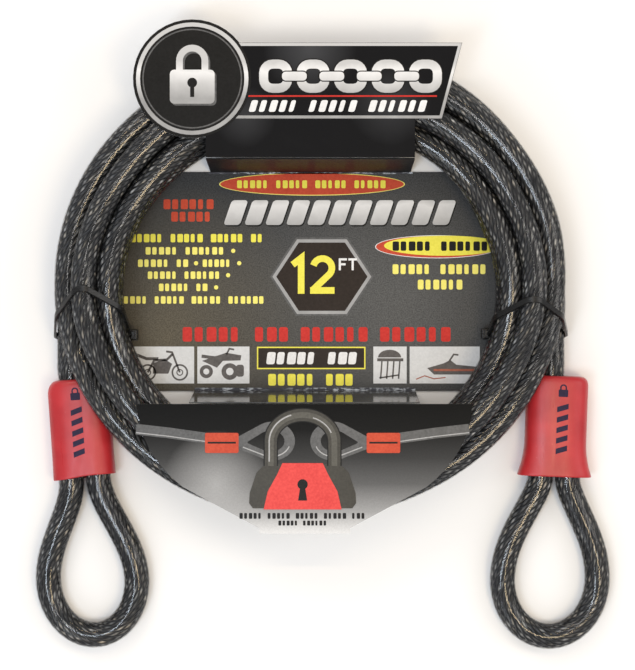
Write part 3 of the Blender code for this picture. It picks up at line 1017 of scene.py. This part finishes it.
def tie_rings(tie, places):
    """The strap's sections all the way round the cables: flat inside, with a bevelled outer face."""
    half = np.array([0.0, TIE_WIDTH / 2, 0.0])
    bevel = half * TIE_BEVEL_SHARE
    rings = []
    for turn in angles(TIE_STEPS):
        way = np.array([math.cos(turn), math.sin(turn)])
        x, z = round_cables(places, way, TIE_THICK / 2)
        out = np.array([way[0], 0.0, way[1]]) * (TIE_THICK / 2)
        centre = np.array([x, tie_y(tie, z), z])
        offsets = (-half - out, half - out, half, bevel + out, out - bevel, -half)
        rings.append([centre + offset for offset in offsets])
    return rings


def make_tie_head(name, centre, nylon):
    """The ratchet head, a rounded box, with the strap's cut tail standing out of it."""
    work = bmesh.new()
    bmesh.ops.create_cube(work, size=1.0)
    bmesh.ops.scale(work, vec=TIE_HEAD, verts=work.verts)
    bmesh.ops.bevel(work, geom=work.edges, offset=TIE_HEAD_ROUND, segments=3, affect="EDGES", profile=0.5)
    bmesh.ops.translate(work, vec=centre, verts=work.verts)
    tail = bmesh.ops.create_cube(work, size=1.0)["verts"]
    rise = Vector((0, 0, TIE_HEAD[2] / 2 + TIE_TAIL_RISE))
    bmesh.ops.scale(work, vec=(TIE_THICK, TIE_WIDTH, TIE_TAIL_LENGTH), verts=tail)
    bmesh.ops.translate(work, vec=centre + rise, verts=tail)
    mesh = bpy.data.meshes.new(name)
    work.to_mesh(mesh)
    work.free()
    mesh.materials.append(nylon)
    return add_object(name, mesh)


def make_tie(side, nylon, routes):
    """A strap drawn tight round the cables, with its head low on their inner side."""
    tie = TIES[side]
    sign = -1 if side == "left" else 1
    places = tie_crossings(tie, sign, routes)
    strap = loft(f"{side}_tie_strap", tie_rings(tie, places), nylon, 35)
    inwards = np.array([-sign * math.cos(TIE_HEAD_DROP), -math.sin(TIE_HEAD_DROP)])
    x, z = round_cables(places, inwards, TIE_HEAD[0] / 2)
    head = make_tie_head(f"{side}_tie_head", Vector((x, tie_y(tie, z), z)), nylon)
    for piece in (strap, head):
        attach(piece, "bundle")
    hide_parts(f"{side}_cable_tie")


# ---- Printed artwork, in millimetres on the frame's X and Y --------------------------------------

PRINT_LIFT = 0.00003
PRINT_THICK = 0.00004
LAYER_STEP = 0.00006


class Ink:
    """One colour of print on one surface: thin closed plates that follow it, joined into one piece."""

    def __init__(self, name, material, place):
        self.name = name
        self.material = material
        self.place = place
        self.verts = []
        self.faces = []

    def ring(self, outline, lift):
        start = len(self.verts)
        self.verts += [self.place(x, y) + np.array([0.0, 0.0, lift]) for x, y in outline]
        return list(range(start, len(self.verts)))

    def walls(self, low, high):
        for i in range(len(low)):
            j = (i + 1) % len(low)
            self.faces.append((low[i], low[j], high[j], high[i]))

    def plate(self, outline, layer=0):
        lift = PRINT_LIFT + layer * LAYER_STEP
        low = self.ring(outline, lift)
        high = self.ring(outline, lift + PRINT_THICK)
        self.faces += [tuple(high), tuple(reversed(low))]
        self.walls(low, high)

    def band(self, outer, inner, layer=0):
        lift = PRINT_LIFT + layer * LAYER_STEP
        rings = [self.ring(outer, lift), self.ring(outer, lift + PRINT_THICK)]
        rings += [self.ring(inner, lift + PRINT_THICK), self.ring(inner, lift)]
        for i in range(4):
            self.walls(rings[i], rings[(i + 1) % 4])

    def attach(self, body, slot):
        piece = finish_mesh(self.name, self.verts, self.faces, self.material, None)
        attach(piece, body)


def on_card(level):
    return lambda x, y: np.array([x * MM, y * MM, level])


def open_prints(area, level, inks, colours):
    """One print on the card for each name in colours, in the ink that is given for it."""
    return [Ink(f"{area}_{name}_print", inks[ink], on_card(level)) for name, ink in colours.items()]


def arc(cx, cy, half_x, half_y, start=0.0, stop=360.0, steps=36):
    """Points along part of an oval; a whole one leaves out its repeated last point."""
    count = steps if abs(stop - start) >= 360 else steps + 1
    turns = [math.radians(start + (stop - start) * k / steps) for k in range(count)]
    return [(cx + half_x * math.cos(t), cy + half_y * math.sin(t)) for t in turns]


def oblong(x_low, y_low, x_high, y_high, slant=0.0, rise=0.0, corner=0.0):
    """A rectangle that may have round corners, lean to the right by slant or climb by rise."""
    if corner:
        r = corner
        points = arc(x_high - r, y_high - r, r, r, 0, 90, 5)
        points += arc(x_low + r, y_high - r, r, r, 90, 180, 5)
        points += arc(x_low + r, y_low + r, r, r, 180, 270, 5)
        points += arc(x_high - r, y_low + r, r, r, 270, 360, 5)
    else:
        points = [(x_low, y_low), (x_high, y_low), (x_high, y_high), (x_low, y_high)]
    middle = (x_low + x_high) / 2
    return [(x + slant * (y - y_low), y + rise * (x - middle)) for x, y in points]


def left_normals(ahead):
    """Unit vectors square to the given ones, on their left."""
    ahead = ahead / np.linalg.norm(ahead, axis=1)[:, None]
    return np.stack([-ahead[:, 1], ahead[:, 0]], axis=1)


def inset(outline, distance):
    """The same outline moved inwards by a distance, its corners kept sharp."""
    points = np.array(outline)
    x, y = points.T
    area = np.sum(x * np.roll(y, -1) - y * np.roll(x, -1))
    normal = left_normals(np.roll(points, -1, axis=0) - points) * math.copysign(1.0, area)
    both = normal + np.roll(normal, 1, axis=0)
    move = both * (distance / np.sum(both * normal, axis=1))[:, None]
    return [tuple(p) for p in points + move]


def stroke(points, width):
    """The outline of a line of even width through the points, with square ends."""
    points = np.array(points, dtype=float)
    normal = left_normals(np.diff(points, axis=0))
    first = np.vstack([normal[:1], normal])
    last = np.vstack([normal, normal[-1:]])
    both = first + last
    move = both * (width / 2 / np.sum(both * first, axis=1))[:, None]
    return [tuple(p) for p in points + move] + [tuple(p) for p in (points - move)[::-1]]


def circle_line(ink, cx, cy, radius, width, layer=0, steps=28):
    inner = radius - width
    ink.band(arc(cx, cy, radius, radius, steps=steps), arc(cx, cy, inner, inner, steps=steps), layer)


SIGN_WIDTHS = (1.0, 0.86, 1.04, 0.94, 0.72)


def signs(ink, x_low, x_high, y_low, y_high, slant=0.0, layer=0, cover=0.74):
    """A line of print with its wording left out: a row of plain blocks, with every sixth one missing."""
    height = y_high - y_low
    count = round((x_high - x_low) / (height * 0.82))
    if count % 6 == 1:
        count -= 1
    pitch = (x_high - x_low) / count
    for k in range(count):
        if k % 6 == 5 and k < count - 1:
            continue
        x = x_low + k * pitch
        width = pitch * cover * SIGN_WIDTHS[k % len(SIGN_WIDTHS)]
        ink.plate(oblong(x, y_low, x + width, y_high, slant, corner=height * 0.16), layer)


def padlock(ink, cx, cy, width, layer=0):
    """A plain closed padlock seen from the front, centred on its body."""
    half = width / 2
    tall = width * 0.76
    ink.plate(oblong(cx - half, cy - tall / 2, cx + half, cy + tall / 2, corner=width * 0.10), layer)
    bow = width * 0.36
    foot = cy + tall / 2
    outer = [(cx + bow, foot)] + arc(cx, foot + bow * 0.55, bow, bow, 0, 180, 16) + [(cx - bow, foot)]
    bow *= 0.58
    inner = [(cx + bow, foot)] + arc(cx, foot + bow * 0.95, bow, bow, 0, 180, 16) + [(cx - bow, foot)]
    ink.plate(outer + inner[::-1], layer)


def chain(silver, dark, x_low, x_high, y, height, links):
    """Face-on links joined by edge-on ones."""
    pitch = (x_high - x_low) / links
    wire = height * 0.27
    for i in range(links):
        left = x_low + pitch * i + pitch * 0.06
        right = left + pitch * 0.88
        outer = oblong(left, y - height / 2, right, y + height / 2, corner=height * 0.40)
        silver.band(outer, inset(outer, wire), 2)
        dark.band(inset(outer, -0.5), outer, 1)
    for i in range(1, links):
        left = x_low + pitch * i - pitch * 0.33
        right = x_low + pitch * i + pitch * 0.33
        outer = oblong(left, y - wire / 2, right, y + wire / 2, corner=wire * 0.42)
        dark.plate(inset(outer, -0.5), 3)
        silver.plate(outer, 4)


def draw_badge(silver, shade, black):
    """Two rings round a plain padlock with its shadow."""
    x, y = BADGE_CENTRE
    black.plate(arc(x, y, BADGE_RADIUS - 0.2, BADGE_RADIUS - 0.2, steps=56), 1)
    circle_line(silver, x, y, BADGE_RADIUS - 1.4, 1.8, 2, steps=56)
    circle_line(shade, x, y, BADGE_RADIUS - 4.2, 0.6, 2, steps=56)
    padlock(shade, x + 0.8, y - 4.4, 20.0, 2)
    padlock(silver, x, y - 3.6, 20.0, 3)
    black.plate(arc(x, y - 1.8, 2.2, 2.2, steps=20), 4)
    black.plate(oblong(x - 0.9, y - 8.2, x + 0.9, y - 2.0), 5)


def make_header_print(inks):
    """The round badge, and the banner with a chain, a rule and a line of signs."""
    colours = {
        "white": "white",
        "silver": "header_silver",
        "black": "black",
        "red": "red",
        "grey": "grey",
    }
    prints = open_prints("header", CARD_TOP, inks, colours)
    white, silver, black, red, shade = prints
    banner = [(BANNER_LEFT, BANNER_BOTTOM), (BANNER_BOTTOM_RIGHT, BANNER_BOTTOM)]
    banner += [(BANNER_TOP_RIGHT, BANNER_TOP), (BANNER_LEFT, BANNER_TOP)]
    silver.band(inset(banner, 0.15), inset(banner, 1.45))
    draw_badge(silver, shade, black)
    chain(silver, black, -29.6, 54.0, 118.1, 14.8, 5)
    red.plate(oblong(-34.0, 108.9, 50.8, 109.6))
    signs(white, -33.4, 46.5, 102.2, 107.4, slant=0.30, cover=0.66)
    for ink in prints:
        ink.attach("header", "black_card")


TOP_OVAL = (-5.1, 73.1)
SIDE_OVAL = (53.5, 43.8)

# The list on the left: each line's height, where its runs of signs start and stop, and its dots.
SIDE_LINES = [
    (41.9, [(-83.0, -45.6)], [-42.0]),
    (36.1, [(-86.6, -62.4), (-56.3, -42.6)], [-59.4, -39.2]),
    (30.5, [(-82.0, -47.6)], [-44.4]),
    (24.8, [(-76.8, -53.4)], [-50.0]),
    (18.9, [(-96.0, -27.0)], []),
]
SIGN_BOXES = 11


def draw_panel_head(yellow, pale, orange, black, silver):
    """A line of signs in an oval, and below it two short lines and a row of leaning silver boxes."""
    orange.plate(arc(*TOP_OVAL, 43.0, 5.0, steps=64))
    pale.band(arc(*TOP_OVAL, 43.5, 5.35, steps=64), arc(*TOP_OVAL, 43.0, 5.0, steps=64))
    signs(yellow, -40.2, 30.0, 71.2, 74.9, layer=1)
    signs(orange, -74.6, -50.4, 61.4, 66.0, cover=0.80)
    signs(orange, -71.0, -51.4, 55.6, 60.2, cover=0.80)
    for k in range(SIGN_BOXES):
        left = -46.6 + k * 9.75
        black.plate(oblong(left + 0.6, 53.3, left + 8.1, 64.9, slant=0.34, corner=1.5))
        silver.plate(oblong(left, 54.0, left + 7.7, 65.6, slant=0.34, corner=1.5), 1)


def draw_panel_sides(yellow, pale, orange, black, white):
    """The list on the left, and the oval with two more lines on the right."""
    signs(yellow, -90.1, -27.4, 45.9, 49.8, cover=0.80)
    for y, runs, dots in SIDE_LINES:
        for x_low, x_high in runs:
            signs(pale, x_low, x_high, y - 1.75, y + 1.75)
        for x in dots:
            pale.plate(arc(x, y, 1.0, 1.0, steps=14))
    orange.plate(arc(*SIDE_OVAL, 28.7, 5.1, steps=56))
    white.band(arc(*SIDE_OVAL, 29.1, 5.4, steps=56), arc(*SIDE_OVAL, 28.7, 5.1, steps=56))
    yellow.plate(arc(SIDE_OVAL[0] + 3.3, SIDE_OVAL[1] + 0.5, 28.2, 4.7, steps=56), 1)
    signs(black, 32.6, 78.0, 41.9, 46.3, layer=2, cover=0.80)
    signs(pale, 32.6, 77.4, 31.0, 35.6)
    signs(pale, 44.4, 66.2, 23.8, 28.4)


def draw_panel_foot(yellow, red, brown, white):
    """A line of large red signs in three runs, a framed label, and the last line below it."""
    for x_low, x_high in ((-65.7, -14.9), (-10.4, 22.1), (26.7, 61.0)):
        signs(red, x_low, x_high, -0.6, 6.2, cover=0.78)
    label = oblong(-30.9, -13.5, 19.9, -3.0)
    yellow.band(label, inset(label, 0.6))
    brown.plate(inset(label, 0.6))
    signs(white, -26.6, 16.4, -11.2, -5.5, slant=0.12, layer=1, cover=0.82)
    signs(yellow, -25.6, 15.0, -21.2, -15.7, cover=0.80)


def draw_length_badge(shade, silver, brown, yellow, white):
    """A six-sided badge with the cable's length, 12 FT."""
    hexagon = arc(-0.5, 29.8, 24.0, 21.0, 0, 360, 6)
    shade.plate(inset(hexagon, -0.2), 0)
    silver.band(inset(hexagon, 0.7), inset(hexagon, 2.2), 1)
    brown.plate(inset(hexagon, 2.2), 1)
    yellow.plate(stroke([(-14.2, 35.4), (-10.2, 38.5), (-10.2, 21.8)], 3.1), 2)
    crown = arc(-0.2, 33.9, 4.4, 4.4, 165, -40, 12)
    yellow.plate(stroke(crown + [(-4.4, 23.9)], 3.1), 2)
    yellow.plate(oblong(-6.0, 21.8, 5.4, 24.9), 3)
    white.plate(oblong(7.4, 32.8, 8.4, 38.4), 2)
    white.plate(oblong(8.0, 37.4, 11.2, 38.4), 3)
    white.plate(oblong(8.0, 35.1, 10.6, 36.1), 3)
    white.plate(oblong(11.9, 37.4, 15.9, 38.4), 2)
    white.plate(oblong(13.4, 32.8, 14.4, 37.9), 3)


def make_panel_print(inks):
    """The centre panel's lines of print, without their wording, round the length badge."""
    colours = {
        "yellow": "yellow",
        "pale_yellow": "pale_yellow",
        "orange": "orange_red",
        "red": "red",
        "black": "black",
        "brown": "brown",
        "white": "white",
        "silver": "panel_silver",
        "grey": "grey",
    }
    prints = open_prints("panel", CARD_THICK, inks, colours)
    yellow, pale, orange, red, black, brown, white, silver, shade = prints
    draw_panel_head(yellow, pale, orange, black, silver)
    draw_panel_sides(yellow, pale, orange, black, white)
    draw_panel_foot(yellow, red, brown, white)
    draw_length_badge(shade, silver, brown, yellow, white)
    for ink in prints:
        ink.attach("bundle", "grey_card")


PICTURE_BOXES = [(-90.6, -60.3), (-58.8, -34.4), (23.6, 39.2), (40.6, 73.4)]


def draw_motorcycle(line):
    for x in (-82.0, -67.0):
        circle_line(line, x, -15.0, 3.9, 0.8, 1)
        circle_line(line, x, -15.0, 1.6, 0.5, 1)
    line.plate(stroke([(-82.0, -15.0), (-79.0, -9.4), (-73.0, -9.0), (-70.4, -6.4)], 1.1), 1)
    line.plate(stroke([(-87.6, -6.6), (-82.6, -8.6), (-77.0, -8.6)], 1.4), 1)
    line.plate(stroke([(-67.0, -15.0), (-70.6, -5.6), (-73.4, -5.2)], 0.9), 1)
    line.plate([(-79.6, -15.6), (-72.4, -15.6), (-70.6, -11.0), (-74.0, -8.8), (-79.4, -10.6)], 1)


def draw_quad(line, paper):
    for x, radius in ((-54.6, 3.1), (-43.6, 3.9)):
        line.plate(arc(x, -14.6, radius, radius, steps=24), 1)
        paper.plate(arc(x, -14.6, radius * 0.45, radius * 0.45, steps=18), 2)
    body = [(-56.6, -9.6), (-49.6, -12.8), (-46.8, -9.6), (-38.6, -9.4), (-38.2, -7.0), (-45.4, -5.8)]
    line.plate(body, 1)
    line.plate(stroke([(-56.8, -7.4), (-50.6, -8.2), (-45.0, -7.0)], 1.5), 2)
    line.plate(stroke([(-45.4, -7.0), (-43.8, -3.9), (-41.6, -4.3)], 0.8), 1)
    line.plate(oblong(-40.6, -17.0, -37.0, -11.4, corner=1.2), 3)


def draw_grill(line):
    line.plate(arc(31.2, -8.0, 5.4, 3.6, 0, 180, 16), 1)
    line.plate(oblong(25.4, -9.8, 37.6, -8.4), 1)
    for x in (27.6, 30.4, 33.2, 36.0):
        line.plate(stroke([(x, -9.8), (x - 0.6, -18.0)], 0.7), 1)
    line.plate(stroke([(26.4, -17.6), (35.6, -16.2)], 0.7), 1)


def draw_small_boat(line, tan):
    hull = [(48.8, -13.0), (52.0, -16.0), (71.6, -16.0), (72.6, -12.4)]
    hull += [(62.4, -11.4), (59.6, -9.2), (56.4, -10.8)]
    line.plate(hull, 1)
    line.plate(stroke([(59.2, -9.6), (61.2, -6.6), (63.4, -6.8)], 0.8), 1)
    tan.plate(oblong(51.8, -14.4, 72.0, -13.4), 2)
    tan.plate(stroke([(43.6, -18.2), (47.6, -16.6), (52.0, -18.0), (57.4, -17.4)], 0.5), 1)


def make_pictures(inks):
    """Four pale boxes with plain drawings: a motorcycle, a quad, a grill and a small boat."""
    place = on_card(CARD_THICK)
    paper = Ink("panel_picture_paper", inks["picture"], place)
    line = Ink("panel_picture_lines", inks["drawing"], place)
    tan = Ink("panel_picture_tan", inks["rust"], place)
    for left, right in PICTURE_BOXES:
        paper.plate(oblong(left, -20.2, right, -2.9))
    draw_motorcycle(line)
    draw_quad(line, paper)
    draw_grill(line)
    draw_small_boat(line, tan)
    for ink in (paper, line, tan):
        ink.attach("bundle", "grey_card")


def from_middle(points, sign=1):
    """Points given outwards from the flap's middle line, on one side of it."""
    return [(FLAP_MIDDLE + sign * x, y) for x, y in points]


def both_sides(half):
    """A whole outline from its left half."""
    return from_middle(half + [(-x, y) for x, y in reversed(half)])


def draw_cable_end(sign, clear, glint, red, black):
    """A clear cable that comes in from one side, with its cuff and its eye."""
    cable = from_middle([(74.4, -39.6), (60.0, -41.2), (43.0, -43.6)], sign)
    clear.plate(stroke(cable, 4.8))
    glint.plate(stroke([(x, y - 1.5) for x, y in cable], 0.45), 1)
    eye = arc(13.5, -44.9, 10.1, 8.7, 55, 305, 30) + [(29.0, -48.4), (29.0, -43.0)]
    hole = arc(14.3, -44.9, 6.2, 4.7, 55, 305, 30) + [(24.6, -45.8), (24.6, -45.2)]
    clear.band(from_middle(eye, sign), from_middle(hole, sign), 1)
    lower_edge = arc(13.9, -44.9, 8.4, 6.9, 200, 300, 14) + [(26.6, -47.6)]
    glint.plate(stroke(from_middle(lower_edge, sign), 0.5), 2)
    cuff = FLAP_MIDDLE + sign * 36.1
    red.plate(oblong(cuff - 7.5, -50.2, cuff + 7.5, -41.2, corner=0.8), 3)
    black.plate(oblong(cuff - 6.3, -46.0, cuff + 6.3, -45.2), 4)


def draw_lock(body, dark, olive, glint, black):
    """A large padlock seen from the front: its shackle, its dark sides and its red face."""
    bow = from_middle([(14.2, -56.0), (14.2, -45.0)])
    bow += from_middle(arc(0.0, -45.0, 14.2, 11.8, 0, 180, 24)[1:] + [(-14.2, -56.0)])
    for ink, width, layer in ((black, 6.4, 3), (dark, 5.4, 4), (olive, 2.6, 5)):
        ink.plate(stroke(bow, width), layer)
    left_shine = [(-14.9, -54.0)] + arc(0.0, -45.0, 14.9, 12.5, 180, 110, 12)
    right_shine = arc(0.0, -45.0, 13.6, 11.2, 20, 70, 10)
    glint.plate(stroke(from_middle(left_shine), 0.6), 6)
    glint.plate(stroke(from_middle(right_shine), 0.5), 6)
    sides = [(-16.6, -55.0), (-20.6, -59.0), (-23.6, -68.0), (-23.9, -72.6), (-22.2, -74.9)]
    dark.plate(both_sides(sides), 2)
    body.plate(both_sides([(-9.0, -54.7), (-11.4, -59.8), (-15.6, -67.4), (-17.4, -75.4)]), 4)
    black.plate(arc(FLAP_MIDDLE, -64.2, 2.3, 2.3, steps=24), 5)
    black.plate(both_sides([(-1.0, -65.0), (-2.0, -71.4)]), 6)


def make_flap_print(inks):
    """A drawing of the cable in use, its two eyes on a padlock's shackle, and small print below."""
    colours = {
        "clear_cable": "smoke",
        "glint": "glint",
        "red": "orange_red",
        "lock": "lock_red",
        "dark": "lock_grey",
        "olive": "olive",
        "black": "black",
    }
    prints = open_prints("flap", CARD_TOP, inks, colours)
    clear, glint, red, body, dark, olive, black = prints
    for sign in (-1, 1):
        draw_cable_end(sign, clear, glint, red, black)
    draw_lock(body, dark, olive, glint, black)
    signs(black, -37.4, 19.2, -79.6, -77.0, cover=0.70)
    signs(black, -20.0, 2.0, -82.6, -80.4, cover=0.70)
    for ink in prints:
        ink.attach("flap", "grey_card")


def make_fold_wear_and_glint(wear_and_glint):
    """Speckled strips along the centre panel's two folds: partly cracked coat, partly painted glints on
    the creases.
    """
    ink = Ink("fold_wear_and_glint_strips", wear_and_glint, on_card(CARD_THICK))
    ink.plate(oblong(NECK_LEFT - 1.0, PANEL_TOP - 0.9, NECK_RIGHT + 1.0, PANEL_TOP - 0.05))
    ink.plate(oblong(-60.0, PANEL_BOTTOM + 0.05, 43.2, PANEL_BOTTOM + 1.5))
    ink.attach("bundle", "grey_card")


# The flat inks: a dark and a light tone for each, and a roughness for those that are glossier.
INK_TONES = {
    "white": (grey(0.62), grey(0.86)),
    "black": (grey(0.004), grey(0.012)),
    "grey": (grey(0.045), grey(0.14)),
    "red": ((0.42, 0.016, 0.014), (0.62, 0.040, 0.030)),
    "orange_red": ((0.42, 0.040, 0.020), (0.60, 0.085, 0.040)),
    "lock_red": ((0.55, 0.035, 0.035), (0.78, 0.085, 0.075)),
    "lock_grey": ((0.034, 0.032, 0.027), (0.066, 0.062, 0.052), 0.30),
    "olive": ((0.065, 0.062, 0.052), (0.115, 0.110, 0.094), 0.30),
    "yellow": ((0.72, 0.65, 0.055), (0.88, 0.81, 0.11)),
    "pale_yellow": ((0.78, 0.70, 0.12), (0.93, 0.85, 0.22)),
    "brown": ((0.014, 0.009, 0.006), (0.030, 0.021, 0.016)),
    "rust": ((0.22, 0.060, 0.035), (0.42, 0.14, 0.09)),
    "picture": ((0.56, 0.57, 0.58), (0.70, 0.71, 0.72)),
    "drawing": ((0.050, 0.045, 0.045), (0.13, 0.12, 0.115)),
    "smoke": (grey(0.060), grey(0.135), 0.30),
    "glint": (grey(0.26), grey(0.46), 0.30),
}
NAVY_TONES = ((0.014, 0.010, 0.030), (0.030, 0.022, 0.055), 0.45)


def make_inks():
    inks = {name: ink_material(f"{name}_ink", *tones) for name, tones in INK_TONES.items()}
    inks["header_silver"] = silver_material("header_silver_ink", 108.0, 128.0)
    inks["panel_silver"] = silver_material("panel_silver_ink", 52.0, 70.0)
    return inks


def make_card():
    paint("card_header", card_material("header_card", header_tone, 0.54, 0.08))
    paint("card_upper_neck", card_material("upper_neck_card", upper_neck_tone, 0.42, 0.10))
    paint("card_centre_panel", card_material("panel_card", panel_tone, 0.55))
    paint("card_lower_neck", card_material("lower_neck_card", lower_neck_tone, 0.10, 0.5))
    paint("card_flap", card_material("flap_card", flap_tone, 0.54, 0.12))
    inks = make_inks()
    make_header_print(inks)
    make_panel_print(inks)
    make_pictures(inks)
    make_flap_print(inks)
    make_fold_wear_and_glint(fold_wear_and_glint_material())


# ---- The whole object ----------------------------------------------------------------------------

make_camera()
make_lights()
make_floor()
coil = coil_route()
ends = {side: end_route(ENDS[side]) for side in ENDS}
coil[0] = ends["left"][0]
coil[-1] = ends["right"][0]
make_cable(coil, ends)
vinyl = vinyl_material()
navy = ink_material("navy_ink", *NAVY_TONES)
nylon = nylon_material()
aluminium = aluminium_material()
for side in ENDS:
    make_sleeve(side, vinyl)
    make_sleeve_print(side, navy)
    make_tie(side, nylon, [coil, ends["left"], ends["right"]])
    paint(f"{side}_ferrule", aluminium)
make_card()
